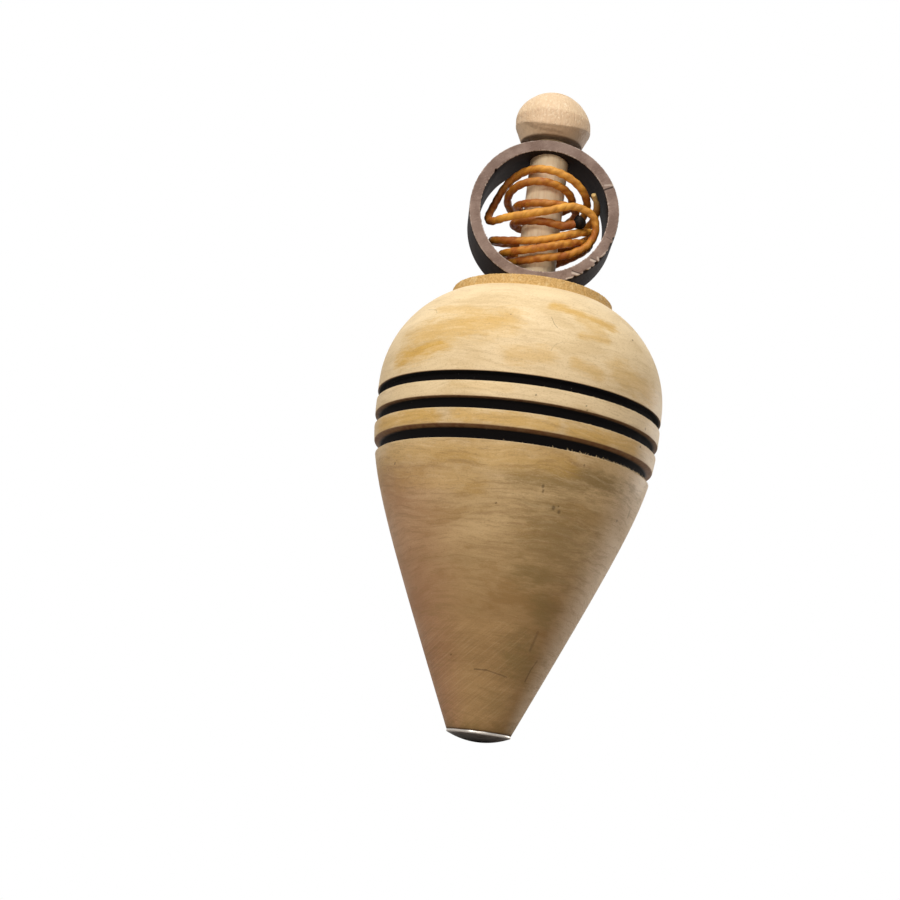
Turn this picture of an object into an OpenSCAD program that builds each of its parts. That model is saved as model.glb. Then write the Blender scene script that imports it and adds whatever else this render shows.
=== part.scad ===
// Pull-string spinning top. A turned wooden body stands on a domed steel cap, and a dowel
// spindle rises from it through a ring handle, cut from plastic pipe, to a turned knob.
// A loose string is wound round the spindle inside the ring.
// Millimetres. +Z is the spin axis, the origin is the lowest point of the tip,
// and the ring handle's open faces look along -Y and +Y.

/* [Turned body] */
// Widest diameter of the body
body_d = 50.2; // [44:0.2:56]
// Height of the widest line above the tip
belly_h = 60.2; // [54:0.2:66]
// Radius of the round shoulder
shoulder_r = 19; // [17:0.5:22]
// Height above the tip at which the straight lower cone would be as wide as the belly
cone_corner_h = 45.4; // [40:0.2:50]
// Diameter at which the shoulder's arc ends, below the collar
ledge_d = 31; // [30:0.2:33]
// Rise of the ledge from there to the collar's foot
ledge_h = 0.3; // [0.1:0.1:0.8]
// Lower diameter of the collar under the ring handle
collar_d = 29.2; // [27:0.2:29.8]
// Upper diameter of the collar
collar_top_d = 28.6; // [24:0.2:29]
// Height of the collar
collar_h = 1.9; // [1.4:0.1:3]
// Depth of the spindle's socket below the collar's top
socket_depth = 22; // [14:0.5:32]

/* [Burnt grooves] */
// Height of each groove
groove_w = 1.7; // [1.2:0.1:2.4]
// Depth of each groove
groove_depth = 1.3; // [0.8:0.1:2]
// Drop of the upper groove below the belly line
upper_groove_drop = 2.7; // [2:0.1:4]
// Drop of the middle groove below the belly line
middle_groove_drop = 7.3; // [6.8:0.1:9]
// Drop of the lower groove below the belly line
lower_groove_drop = 12.2; // [11.7:0.1:15]
// Height that the middle groove's upper wall slopes up on its way out
middle_groove_flare = 0.3; // [0:0.1:0.8]
// Height that the lower groove's upper wall slopes up on its way out
lower_groove_flare = 0.6; // [0:0.1:1]

/* [Steel tip] */
// Diameter of the domed cap, and of the wooden nose that it covers
cap_d = 11; // [9:0.2:13]
// Height of the cap
cap_h = 1.6; // [1.3:0.1:2.6]
// Height of the cap's straight rim
cap_rim_h = 0.35; // [0.25:0.05:0.6]
// Thickness of the cap's sheet
cap_sheet = 0.5; // [0.3:0.05:0.7]
// Diameter of the nail
nail_d = 2; // [1.6:0.1:2.8]
// Diameter of the nail's head, inside the cap
nail_head_d = 6; // [5:0.1:7]
// Length of the nail in the wood
nail_l = 13; // [8:0.5:18]
// Length of the nail's point
nail_point_l = 2.5; // [1.5:0.1:4]
// Diameter of the nail's blunt end
nail_end_d = 0.4; // [0.2:0.1:0.8]

/* [Spindle and knob] */
// Diameter of the dowel spindle
spindle_d = 7; // [6:0.1:8]
// Chamfer at both ends of the spindle
spindle_chamfer = 0.5; // [0.3:0.1:0.8]
// Widest diameter of the knob
knob_d = 13.7; // [12:0.1:16]
// Diameter of the knob's flat underside
knob_base_d = 11; // [9:0.1:11.6]
// Height of the knob's lower slope
knob_slope_h = 2.2; // [1:0.1:3]
// Height of the knob's straight band
knob_band_h = 2.4; // [1.6:0.1:5]
// Height of the knob's dome
knob_dome_h = 5.4; // [4:0.1:6.4]
// Depth of the knob's blind bore
knob_bore_depth = 7; // [5:0.2:9]

/* [Ring handle] */
// Outside diameter of the pipe that the ring is cut from
pipe_d = 26.8; // [24:0.1:30]
// Wall of the pipe
pipe_wall = 1.95; // [1.4:0.05:2.2]
// Width of the ring
ring_w = 10.4; // [9.6:0.1:14]
// Distance from the collar up to the ring at rest
play_below = 1.8; // [1.2:0.1:3]
// Distance from the ring up to the knob at rest
play_above = 0.95; // [0.6:0.05:2]

/* [Fits] */
// Gap all round between the spindle and the ring's two holes
running_gap = 0.1; // [0.05:0.01:0.1]
// Gap for glue round the spindle and round the nail
glue_gap = 0.05; // [0.02:0.01:0.1]
// Gap above the spindle's end in the knob, and above the nail's point
end_gap = 0.2; // [0.1:0.05:0.5]

/* [String] */
// Diameter of the waxed string
string_d = 1.5; // [1.3:0.05:1.6]
// Diameter of the melted knot at the string's inner end
knot_d = 2.4; // [2.2:0.1:2.6]

/* [Hidden] */
$fn = 96;
// A cut runs this far past the face that it opens
cut = 1;
// Share of the way to its corner that each handle of the flank's curve reaches
flank_pull = 0.97;
// Points along the flank's curve and along each round arc
curve_steps = 24;

// Radius at which the shoulder's arc is centred, and its rise above the belly at radius r
shoulder_axis = body_d / 2 - shoulder_r;
function shoulder_rise(r) = sqrt(shoulder_r * shoulder_r - pow(r - shoulder_axis, 2));

// Heights above the tip, from the bottom up
body_top = belly_h + shoulder_rise(ledge_d / 2) + ledge_h + collar_h;
ring_z = body_top + play_below + pipe_d / 2;
knob_z = ring_z + pipe_d / 2 + play_above;
knob_h = knob_slope_h + knob_band_h + knob_dome_h;
spindle_z = body_top - socket_depth;
spindle_top = knob_z + knob_bore_depth - end_gap;

// Radius of a cap of a ball that is as wide and as high as given
function cap_radius(half_width, height) = (half_width * half_width + height * height) / (2 * height);

// Point at share t of a curve drawn from a to d, pulled towards b and c
function curve_point(a, b, c, d, t) =
    pow(1 - t, 3) * a + 3 * pow(1 - t, 2) * t * b + 3 * (1 - t) * t * t * c + pow(t, 3) * d;

// The flank runs straight from the nose towards its corner, then rounds into the belly
nose_point = [cap_d / 2, cap_h];
belly_point = [body_d / 2, belly_h];
corner_point = [body_d / 2, cone_corner_h];
flank = [for (i = [0 : curve_steps])
    curve_point(nose_point, nose_point + flank_pull * (corner_point - nose_point),
                belly_point + flank_pull * (corner_point - belly_point), belly_point,
                i / curve_steps)];

// The shoulder is an arc from the belly to the ledge below the collar
shoulder_turn = acos((ledge_d / 2 - shoulder_axis) / shoulder_r);
shoulder = [for (i = [1 : curve_steps])
    let (a = shoulder_turn * i / curve_steps)
    [shoulder_axis + shoulder_r * cos(a), belly_h + shoulder_r * sin(a)]];

// Radius of the flank at height z
function flank_r(z) = lookup(z, [for (p = flank) [p[1], p[0]]]);

// Half of the body's outline, on the spin axis
module body_outline() {
    polygon(concat([[0, cap_h]], flank, shoulder,
                   [[collar_d / 2, body_top - collar_h], [collar_top_d / 2, body_top],
                    [0, body_top]]));
}

// Section of a groove below the belly, whose upper wall slopes up by flare on its way out
module groove(drop, flare) {
    reach = groove_depth + cut;
    translate([flank_r(belly_h - drop) - groove_depth, belly_h - drop - groove_w / 2])
    polygon([[0, 0], [reach, 0], [reach, groove_w + flare * reach / groove_depth], [0, groove_w]]);
}

// Turned wooden body with three burnt grooves, the spindle's socket and the nail's hole
module top_body() {
    color("burlywood")
    difference() {
        rotate_extrude()
        difference() {
            body_outline();
            groove(upper_groove_drop, 0);
            groove(middle_groove_drop, middle_groove_flare);
            groove(lower_groove_drop, lower_groove_flare);
        }
        translate([0, 0, spindle_z])
        cylinder(r = spindle_d / 2 + glue_gap, h = socket_depth + cut);
        translate([0, 0, cap_h - cut])
        cylinder(r = nail_d / 2 + glue_gap, h = cut + nail_l + end_gap);
    }
}

// The cap is a low dome under a short straight rim
dome_r = cap_radius(cap_d / 2, cap_h - cap_rim_h);

// Domed steel cap, an open shell against the wooden nose
module tip_cap() {
    color("silver")
    rotate_extrude()
    difference() {
        intersection() {
            translate([0, dome_r])
            circle(r = dome_r);
            square([cap_d / 2, cap_h]);
        }
        intersection() {
            translate([0, dome_r])
            circle(r = dome_r - cap_sheet);
            translate([-cut, 0])
            square([cut + cap_d / 2 - cap_sheet, cap_h + cut]);
        }
    }
}

// Height at which the nail's head meets the inside of the cap
nail_head_z = dome_r - sqrt(pow(dome_r - cap_sheet, 2) - pow(nail_head_d / 2, 2));

// Nail that holds the cap, driven up into the body's nose
module tip_nail() {
    color("gray")
    rotate_extrude()
    polygon([[0, nail_head_z], [nail_head_d / 2, nail_head_z], [nail_head_d / 2, cap_h],
             [nail_d / 2, cap_h], [nail_d / 2, cap_h + nail_l - nail_point_l],
             [nail_end_d / 2, cap_h + nail_l], [0, cap_h + nail_l]]);
}

// Dowel from the body's socket through the ring handle into the knob
module spindle() {
    r = spindle_d / 2;
    color("wheat")
    rotate_extrude()
    polygon([[0, spindle_z], [r - spindle_chamfer, spindle_z], [r, spindle_z + spindle_chamfer],
             [r, spindle_top - spindle_chamfer], [r - spindle_chamfer, spindle_top],
             [0, spindle_top]]);
}

// Half of the knob's outline: a flat foot, a slope, a straight band and a dome
knob_dome_r = cap_radius(knob_d / 2, knob_dome_h);
dome_start = asin((knob_dome_r - knob_dome_h) / knob_dome_r);
knob_arc = [for (i = [0 : curve_steps])
    let (a = dome_start + (90 - dome_start) * i / curve_steps)
    [knob_dome_r * cos(a), knob_h - knob_dome_r * (1 - sin(a))]];

// Turned knob, glued on the spindle's end
module knob() {
    color("bisque")
    translate([0, 0, knob_z])
    difference() {
        rotate_extrude()
        polygon(concat([[0, 0], [knob_base_d / 2, 0], [knob_d / 2, knob_slope_h]], knob_arc));
        translate([0, 0, -cut])
        cylinder(r = spindle_d / 2 + glue_gap, h = cut + knob_bore_depth);
    }
}

// Slice of plastic pipe with its axis along Y and a hole through its wall, top and bottom
module ring_handle() {
    color("slategray")
    translate([0, 0, ring_z])
    difference() {
        rotate([90, 0, 0])
        difference() {
            cylinder(r = pipe_d / 2, h = ring_w, center = true);
            cylinder(r = pipe_d / 2 - pipe_wall, h = ring_w + 2 * cut, center = true);
        }
        cylinder(r = spindle_d / 2 + running_gap, h = pipe_d + 2 * cut, center = true);
    }
}

// Route of the loose string, from the ring's centre: its melted end, round the spindle as
// six loose turns with a bend back at the left and the right, and up to its cut end
route = [
    [6.4, -4.2, -1.0], [4.0, -4.7, -2.1], [0.0, -5.0, -2.0], [-5.1, 0.0, -1.4],
    [0.0, 4.9, -0.4], [5.9, 0.0, 2.0], [0.0, -4.9, 1.5], [-4.9, 0.0, 1.9],
    [0.0, 4.9, 3.0], [5.0, 0.0, 3.9], [0.0, -4.9, 5.5], [-6.6, 0.0, 3.8],
    [0.0, 6.7, 1.4], [7.8, 0.4, 3.2], [0.0, -5.1, 7.8], [-6.5, -0.5, 6.6],
    [-9.0, 1.4, 2.2], [-9.6, -1.0, -1.6], [-6.0, -5.2, -2.0], [0.0, -6.4, -0.6],
    [6.2, -5.0, 1.4], [8.8, -4.2, 0.4], [9.6, -3.4, -2.0], [8.7, -3.3, -4.5],
    [6.0, -4.2, -6.9], [0.0, -5.1, -9.0], [-5.0, 0.0, -9.0], [0.0, 5.1, -7.6],
    [9.1, 1.4, -3.0], [7.1, -2.5, -4.2], [0.0, -5.9, -7.3], [-6.5, 0.0, -7.5],
    [0.0, 5.0, -5.2], [9.4, 1.2, -1.0], [7.6, -2.4, -2.1], [0.0, -4.8, -5.4],
    [-8.4, 0.0, -5.0], [0.0, 6.7, -1.9], [9.4, 1.8, 2.1], [9.5, -1.0, 3.7],
    [8.5, -3.4, 4.9]
];
route_last = len(route) - 1;
// Rings along each step of the route, rings in all, and corners round each ring
rings_per_step = 2;
string_rings = route_last * rings_per_step + 1;
string_sides = 8;

function unit(v) = v / norm(v);

// Direction of the route at point i: the shorter neighbouring step counts for more
function step_dir(i) = unit(route[i + 1] - route[i]);
function step_len(i) = norm(route[i + 1] - route[i]);
function route_dir(i) =
    i == 0 ? step_dir(0) :
    i == route_last ? step_dir(route_last - 1) :
    unit(step_dir(i - 1) * step_len(i) + step_dir(i) * step_len(i - 1));

// Reach of the curve's handles on step i, as a share of the step: right for a round arc
// that turns as much as the two directions differ
function arc_reach(i) =
    1 / pow(cos(acos(min(1, route_dir(i) * route_dir(i + 1))) / 4), 2);

// Point and direction of the smooth route at u, which counts route points
function route_step(u) = min(floor(u), route_last - 1);
function route_point(u) =
    let (i = route_step(u), t = u - i, k = arc_reach(i) * step_len(i))
    (1 + 2 * t) * pow(1 - t, 2) * route[i] + t * pow(1 - t, 2) * k * route_dir(i)
    + t * t * (3 - 2 * t) * route[i + 1] + t * t * (t - 1) * k * route_dir(i + 1);
function route_slope(u) =
    let (i = route_step(u), t = u - i, k = arc_reach(i) * step_len(i))
    6 * t * (t - 1) * (route[i] - route[i + 1])
    + (1 - t) * (1 - 3 * t) * k * route_dir(i) + t * (3 * t - 2) * k * route_dir(i + 1);

// Corners of the string's ring j, square to the route
function ring_corners(j) =
    let (u = j / rings_per_step, p = route_point(u),
         along = unit(route_slope(u)), side = unit(cross(along, p)),
         up = cross(side, along))
    [for (s = [0 : string_sides - 1])
        let (a = 360 * s / string_sides)
        p + string_d / 2 * (cos(a) * side + sin(a) * up)];

// Waxed string along its whole route
module pull_string() {
    points = [for (j = [0 : string_rings - 1]) each ring_corners(j)];
    walls = [for (j = [0 : string_rings - 2], s = [0 : string_sides - 1])
        let (a = j * string_sides + s, b = j * string_sides + (s + 1) % string_sides)
        [a, b, b + string_sides, a + string_sides]];
    first_end = [for (s = [0 : string_sides - 1]) string_sides - 1 - s];
    last_end = [for (s = [0 : string_sides - 1]) (string_rings - 1) * string_sides + s];
    color("darkorange")
    translate([0, 0, ring_z])
    polyhedron(points, concat(walls, [first_end, last_end]));
}

// Melted black knot round the string's first end
module melted_knot() {
    color("black")
    translate(route[0] + [0, 0, ring_z])
    sphere(d = knot_d);
}

top_body();
tip_cap();
tip_nail();
spindle();
knob();
ring_handle();
pull_string();
melted_knot();
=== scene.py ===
"""Looks of the pull-string spinning top: turned wood, burnt grooves, a steel tip, a ring sawn
from plastic pipe and a waxed string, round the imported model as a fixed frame. Metres, +Z up."""

import math

import bpy
import numpy as np
from bpy.props import FloatProperty, FloatVectorProperty, IntProperty, PointerProperty
from mathutils import Matrix, Vector
from mathutils.bvhtree import BVHTree


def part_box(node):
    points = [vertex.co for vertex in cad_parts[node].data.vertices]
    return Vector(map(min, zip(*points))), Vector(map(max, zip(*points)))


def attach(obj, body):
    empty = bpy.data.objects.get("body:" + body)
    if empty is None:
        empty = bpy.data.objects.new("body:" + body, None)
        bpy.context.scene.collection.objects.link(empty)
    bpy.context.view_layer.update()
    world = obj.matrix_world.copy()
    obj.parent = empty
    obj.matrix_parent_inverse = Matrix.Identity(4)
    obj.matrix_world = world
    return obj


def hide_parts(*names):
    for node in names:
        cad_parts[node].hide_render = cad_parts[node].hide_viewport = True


bl_info = {
    "name": "Spinning top",
    "version": (1, 0, 0),
    "blender": (4, 5, 0),
    "location": "3D View > Sidebar > Spinning top",
    "description": "Makes the looks of a pull-string spinning top round its fixed frame",
    "category": "Object",
}

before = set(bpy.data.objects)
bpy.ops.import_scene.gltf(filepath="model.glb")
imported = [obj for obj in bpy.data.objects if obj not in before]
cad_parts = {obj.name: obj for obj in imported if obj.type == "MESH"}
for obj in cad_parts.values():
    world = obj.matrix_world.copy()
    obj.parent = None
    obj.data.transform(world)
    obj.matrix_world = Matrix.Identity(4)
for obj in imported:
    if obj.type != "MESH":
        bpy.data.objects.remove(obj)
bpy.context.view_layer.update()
MM = 0.001
TURN = 2 * math.pi
NAIL_HOLE_R = 1.05 * MM
SOCKET_R = 3.55 * MM

BODY_LOW, BODY_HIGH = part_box("top_body")
CAP_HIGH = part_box("tip_cap")[1]
KNOB_LOW, KNOB_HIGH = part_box("knob")
RING_LOW, RING_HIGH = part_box("ring_handle")
SPINDLE_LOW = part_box("spindle")[0]
NAIL_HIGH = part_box("tip_nail")[1]
RING_CENTRE = Vector((0, 0, (RING_LOW.z + RING_HIGH.z) / 2))

# Image points in the photograph's frame of 900 x 900, x to the right and y down
PHOTO = (900, 900)
IMAGE_POINTS = {
    "body_left": (376.0, None), "body_right": (663.0, None),
    "knob_top": (None, 92.9), "tip_bottom": (None, 745.0),
    "collar_left": (455.4, 289.0), "collar_right": (612.8, 309.0),
    "ring_left": (469.2, None), "ring_right": (619.2, None),
    "knob_left": (514.1, None), "knob_right": (590.0, None),
    "stain_left": (421.0, 350.0), "stain_upper": (487.0, 321.0), "stain_right": (581.0, 317.0),
    "shoulder_crack": (555.0, 323.5), "shoulder_speck": (632.5, 340.5),
    "dent_mark": (556.0, 510.0), "nose_scratch": (490.0, 672.5), "side_scratch": (530.0, 671.0),
    "ring_crack": (610.0, 188.0), "flaked_edge": (600.0, 263.0),
}

# Route of the string from the ring's centre, in millimetres, as in the part's source
ROUTE = np.array([
    (6.4, -4.2, -1.0), (4.0, -4.7, -2.1), (0.0, -5.0, -2.0), (-5.1, 0.0, -1.4),
    (0.0, 4.9, -0.4), (5.9, 0.0, 2.0), (0.0, -4.9, 1.5), (-4.9, 0.0, 1.9),
    (0.0, 4.9, 3.0), (5.0, 0.0, 3.9), (0.0, -4.9, 5.5), (-6.6, 0.0, 3.8),
    (0.0, 6.7, 1.4), (7.8, 0.4, 3.2), (0.0, -5.1, 7.8), (-6.5, -0.5, 6.6),
    (-9.0, 1.4, 2.2), (-9.6, -1.0, -1.6), (-6.0, -5.2, -2.0), (0.0, -6.4, -0.6),
    (6.2, -5.0, 1.4), (8.8, -4.2, 0.4), (9.6, -3.4, -2.0), (8.7, -3.3, -4.5),
    (6.0, -4.2, -6.9), (0.0, -5.1, -9.0), (-5.0, 0.0, -9.0), (0.0, 5.1, -7.6),
    (9.1, 1.4, -3.0), (7.1, -2.5, -4.2), (0.0, -5.9, -7.3), (-6.5, 0.0, -7.5),
    (0.0, 5.0, -5.2), (9.4, 1.2, -1.0), (7.6, -2.4, -2.1), (0.0, -4.8, -5.4),
    (-8.4, 0.0, -5.0), (0.0, 6.7, -1.9), (9.4, 1.8, 2.1), (9.5, -1.0, 3.7),
    (8.5, -3.4, 4.9)])


# ---------------------------------------------------------------- sizes and colours

def length(label, value, words):
    """Property for a length in metres."""
    return FloatProperty(name=label, description=words, default=value, min=0, unit="LENGTH",
                         precision=5)


def colour(label, value, words):
    """Property for a colour."""
    return FloatVectorProperty(name=label, description=words, default=value, size=3, min=0,
                               max=1, subtype="COLOR")


class StageSizes(bpy.types.PropertyGroup):
    camera_place: FloatVectorProperty(
        name="Camera place", description="Where the camera stands", size=3,
        default=(-0.011095, -0.287896, -0.012914), subtype="TRANSLATION", unit="LENGTH",
        precision=5)
    camera_aim: FloatVectorProperty(
        name="Camera aim", description="Point at the middle of the picture", size=3,
        default=(-0.011095, 0.0, 0.049647), subtype="TRANSLATION", unit="LENGTH", precision=5)
    camera_roll: FloatProperty(
        name="Camera roll", description="Turn of the camera about its line of sight",
        default=math.radians(7.54), subtype="ANGLE", unit="ROTATION")
    camera_lens: FloatProperty(
        name="Lens", description="Focal length in millimetres", default=67.04, min=1,
        unit="CAMERA")
    key_power: FloatProperty(
        name="Key light", description="Power of the large soft lamp in watts", default=7.0,
        min=0, unit="POWER")
    front_power: FloatProperty(
        name="Front light", description="Power of the lamp at the front left in watts",
        default=3.3, min=0, unit="POWER")
    rim_power: FloatProperty(
        name="Rim light", description="Power of the lamp behind, at the right, in watts",
        default=1.5, min=0, unit="POWER")
    sky: FloatProperty(
        name="Room light", description="Strength of the even light from all round",
        default=0.22, min=0)
    floor: colour("Floor", (0.80, 0.79, 0.78), "Colour of the floor")
    bounce: colour("Floor's bounce", (0.34, 0.28, 0.24), "Colour that the floor throws back")
    floor_size: length("Floor size", 3.0, "Width of the floor")


class BodySizes(bpy.types.PropertyGroup):
    around: IntProperty(name="Points around", description="Points round the body", default=508,
                        min=64, max=720)
    belly_h: length("Belly height", 60.2 * MM, "Height of the widest line above the tip")
    shoulder_r: length("Shoulder radius", 19 * MM, "Radius of the round shoulder")
    corner_h: length("Cone corner", 45.4 * MM, "Height of the flank's corner")
    flank_pull: FloatProperty(name="Flank pull", description="Pull of the flank's corner",
                              default=0.97, min=0, max=1, subtype="FACTOR")
    ledge_d: length("Ledge width", 31 * MM, "Diameter of the ledge below the collar")
    collar_d: length("Collar width", 29.2 * MM, "Lower diameter of the collar")
    collar_top_d: length("Collar top", 28.6 * MM, "Upper diameter of the collar")
    collar_h: length("Collar height", 1.9 * MM, "Height of the collar")
    cap_d: length("Nose width", 11 * MM, "Diameter of the nose")
    groove_w: length("Groove height", 1.7 * MM, "Height of each groove")
    groove_depth: length("Groove depth", 1.3 * MM, "Depth of each groove")
    groove_drops: FloatVectorProperty(
        name="Groove drops", description="Drops of the three grooves below the belly", size=3,
        default=(2.7 * MM, 7.3 * MM, 12.2 * MM), unit="LENGTH", precision=5)
    groove_flares: FloatVectorProperty(
        name="Groove flares", description="Rises of the grooves' upper walls on their way out",
        size=3, default=(0, 0.3 * MM, 0.6 * MM), unit="LENGTH", precision=5)
    fibre_count: IntProperty(name="Torn fibres", description="Fibres on the grooves' lips",
                             default=900, min=0, max=3000)
    wood: colour("Pale wood", (0.74, 0.57, 0.335), "Colour of the shoulder")
    cone_wood: colour("Cone wood", (0.58, 0.405, 0.200), "Colour of the cone")
    # The cone's colour near the tip is partly the wood's own tone and partly painted shade
    nose_wood_and_shade: colour("Nose wood", (0.375, 0.228, 0.095), "Colour of the cone near the tip")
    # The cone's olive patches are partly the wood's own blotches and mostly painted shade
    olive_blotch_and_shade: colour("Olive shade", (0.25, 0.165, 0.058), "Colour of the cone's dark patches")
    stain: colour("Ochre stain", (0.60, 0.36, 0.085), "Colour of the stains")
    line: colour("Grain line", (0.33, 0.19, 0.09), "Colour of the dark grain lines")
    char: colour("Char", (0.004, 0.003, 0.003), "Colour of the burnt grooves")
    toast: colour("Toasted wall", (0.20, 0.095, 0.04), "Colour of the grooves' upper walls")
    collar: colour("End grain", (0.64, 0.405, 0.155), "Colour of the collar's side")


class CapSizes(bpy.types.PropertyGroup):
    rim_h: length("Rim height", 0.35 * MM, "Height of the cap's straight rim")
    sheet: length("Sheet", 0.5 * MM, "Thickness of the cap's sheet")
    # The steel's colour is darkened and warmed as a painted dark reflection
    steel: colour("Steel", (0.20, 0.165, 0.14), "Colour of the steel")


class KnobSizes(bpy.types.PropertyGroup):
    base_d: length("Foot width", 11 * MM, "Diameter of the knob's flat foot")
    slope_h: length("Slope height", 2.2 * MM, "Height of the lower slope")
    band_h: length("Band height", 2.4 * MM, "Height of the straight band")
    sway: length("Crease sway", 0.7 * MM, "How far the edge under the band rises and sinks")
    lean: length("Dome lean", 0.35 * MM, "How far the dome leans to the left")
    bore_d: length("Bore width", 7.1 * MM, "Diameter of the knob's bore")
    bore_depth: length("Bore depth", 7 * MM, "Depth of the knob's bore")
    wood: colour("Knob wood", (0.70, 0.51, 0.315), "Colour of the knob")
    slope: colour("Slope wood", (0.74, 0.54, 0.345), "Colour of the knob's lower slope")
    # The dowel's colours are paler than the wood's own, as painted light
    dowel: colour("Dowel wood", (0.96, 0.77, 0.51), "Colour of the spindle")


class RingSizes(bpy.types.PropertyGroup):
    around: IntProperty(name="Points around", description="Points round the ring", default=720,
                        min=64, max=1440)
    wall: length("Wall", 1.95 * MM, "Wall of the pipe")
    hole_d: length("Spindle holes", 7.2 * MM, "Diameter of the two holes for the spindle")
    edge: length("Edge", 0.12 * MM, "Rounding of the ring's edges")
    face: colour("Sawn face", (0.205, 0.140, 0.112), "Colour of the sawn faces")
    # The pipe's walls are made nearly black as painted shade
    skin: colour("Pipe skin", (0.014, 0.009, 0.008), "Colour of the pipe's walls")
    burr: colour("Burr", (0.62, 0.52, 0.44), "Colour of the burrs")


class StringSizes(bpy.types.PropertyGroup):
    thickness: length("Thickness", 1.5 * MM, "Diameter of the string")
    whole: length("Length", 298.5 * MM, "Length of the string")
    step: length("Step", 0.16 * MM, "Distance between the string's rings")
    pitch: length("Lay", 3.6 * MM, "Length of one full turn of the two plies")
    knot_d: length("Knot", 2.4 * MM, "Diameter of the melted knot")
    wax: colour("Waxed orange", (0.74, 0.325, 0.036), "Colour of the string")
    # This deep orange darkens some fibres, and is also the painted shade in the crevices between
    # the plies
    deep: colour("Deep orange", (0.25, 0.062, 0.007), "Colour between the plies")
    cut: colour("Cut end", (0.82, 0.56, 0.22), "Colour of the cut end")


# ---------------------------------------------------------------- meshes from numbers

def build_mesh(name, points, faces, values=None):
    """Closed mesh with its faces outwards. Its volume is the sum of a . (b x c) / 6 over its
    triangles, and a negative one turns every face round. values are kept at its points."""
    volume = 0.0
    for block in faces:
        a = points[block[:, 0]]
        for k in range(1, block.shape[1] - 1):
            volume += np.einsum("ij,ij->", a, np.cross(points[block[:, k]],
                                                      points[block[:, k + 1]]))
    order = 1 if volume > 0 else -1
    mesh = bpy.data.meshes.new(name)
    mesh.from_pydata(points.tolist(), [], sum((b[:, ::order].tolist() for b in faces), []))
    for label, numbers in (values or {}).items():
        mesh.attributes.new(label, "FLOAT", "POINT").data.foreach_set(
            "value", np.ascontiguousarray(numbers, dtype=np.float32))
    mesh.shade_smooth()
    mesh.validate()
    piece = bpy.data.objects.new(name, mesh)
    bpy.context.scene.collection.objects.link(piece)
    return piece


def grid_faces(rows, columns, close_rows=False):
    """Four-sided faces between the rows of a grid whose columns run round and close."""
    i = np.arange(rows if close_rows else rows - 1)[:, None]
    j = np.arange(columns)[None, :]
    up, on = (i + 1) % rows, (j + 1) % columns
    return np.stack(np.broadcast_arrays(i * columns + j, i * columns + on, up * columns + on,
                                        up * columns + j), -1).reshape(-1, 4)


def end_faces(rows, columns):
    """Triangles from a grid's first and last rows to the two points that follow the grid."""
    j = np.arange(columns)
    on, last = (j + 1) % columns, (rows - 1) * columns
    return (np.stack((np.full(columns, rows * columns), on, j), -1),
            np.stack((np.full(columns, rows * columns + 1), last + j, last + on), -1))


def turned(name, r, z, first_z, last_z, values=None):
    """Turned solid. Its point at row i and angle a is (r cos a, r sin a, z), where r and z are
    tables over rows and angles, and a point on the axis closes each end."""
    rows, columns = r.shape
    a = TURN * np.arange(columns) / columns
    points = np.stack((r * np.cos(a), r * np.sin(a), z), -1).reshape(-1, 3)
    points = np.vstack((points, [(0, 0, first_z), (0, 0, last_z)]))
    kept = {k: np.append(np.broadcast_to(v, r.shape).ravel(), (0, 0))
            for k, v in (values or {}).items()}
    return build_mesh(name, points, [grid_faces(rows, columns), *end_faces(rows, columns)],
                      kept)


def vertex_places(piece):
    """Places of a mesh's points, one row each."""
    place = np.empty(len(piece.data.vertices) * 3)
    piece.data.vertices.foreach_get("co", place)
    return place.reshape(-1, 3)


def carried_round(rows, columns):
    """Tables of a profile's first two numbers, the same in every column."""
    return np.repeat(rows[:, 0:1], columns, 1), np.repeat(rows[:, 1:2], columns, 1)


def round_line(seed, columns, low, high):
    """Random closed line: the sum of s cos(k a + p) over whole k from low to high, with
    random s and p, scaled to a spread of one."""
    rng = np.random.default_rng(seed)
    k = np.arange(low, high + 1)[:, None]
    a = TURN * np.arange(columns) / columns
    line = (rng.normal(size=k.shape) * np.cos(k * a + rng.uniform(0, TURN, k.shape))).sum(0)
    return line / line.std()


def near_angle(columns, middle, half):
    """Weight round the axis: 1 at the angle middle, smoothly down to 0 at half on each side."""
    a = TURN * np.arange(columns) / columns
    away = np.abs((a - middle + math.pi) % TURN - math.pi)
    return smooth_step(1 - away / half)


def smooth_step(t):
    """3 t^2 - 2 t^3, with t held between 0 and 1."""
    t = np.clip(t, 0, 1)
    return t * t * (3 - 2 * t)


def stretch(start, end, count):
    """count points from start towards end, without end."""
    t = np.arange(count)[:, None] / count
    return np.array(start) * (1 - t) + np.array(end) * t


def arc(centre, radius, start, end, count):
    """count points from the angle start towards end on a circle, without end."""
    a = start + (end - start) * np.arange(count) / count
    return np.stack((centre[0] + radius * np.cos(a), centre[1] + radius * np.sin(a)), -1)


# ---------------------------------------------------------------- image points

def camera_axes():
    """The camera's place, and its matrix with right, up and back as columns."""
    matrix = bpy.context.scene.camera.matrix_world
    return matrix.translation.copy(), matrix.to_3x3()


def image_ray(x, y):
    """Start and direction of the ray through an image point."""
    camera = bpy.context.scene.camera.data
    width, height = PHOTO
    longest = max(PHOTO)
    place, axes = camera_axes()
    ray = Vector((x - width / 2 + camera.shift_x * longest,
                  height / 2 - y + camera.shift_y * longest,
                  -longest * camera.lens / camera.sensor_width))
    return place, (axes @ ray).normalized()


def image_place(points):
    """Image points of places in the scene: the rays' formula read the other way."""
    camera = bpy.context.scene.camera.data
    width, height = PHOTO
    longest = max(PHOTO)
    place, axes = camera_axes()
    seen = (np.asarray(points, float).reshape(-1, 3) - np.array(place)) @ np.array(axes)
    scale = longest * camera.lens / camera.sensor_width / -seen[:, 2]
    return np.stack((width / 2 - camera.shift_x * longest + seen[:, 0] * scale,
                     height / 2 + camera.shift_y * longest - seen[:, 1] * scale), -1)


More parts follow.
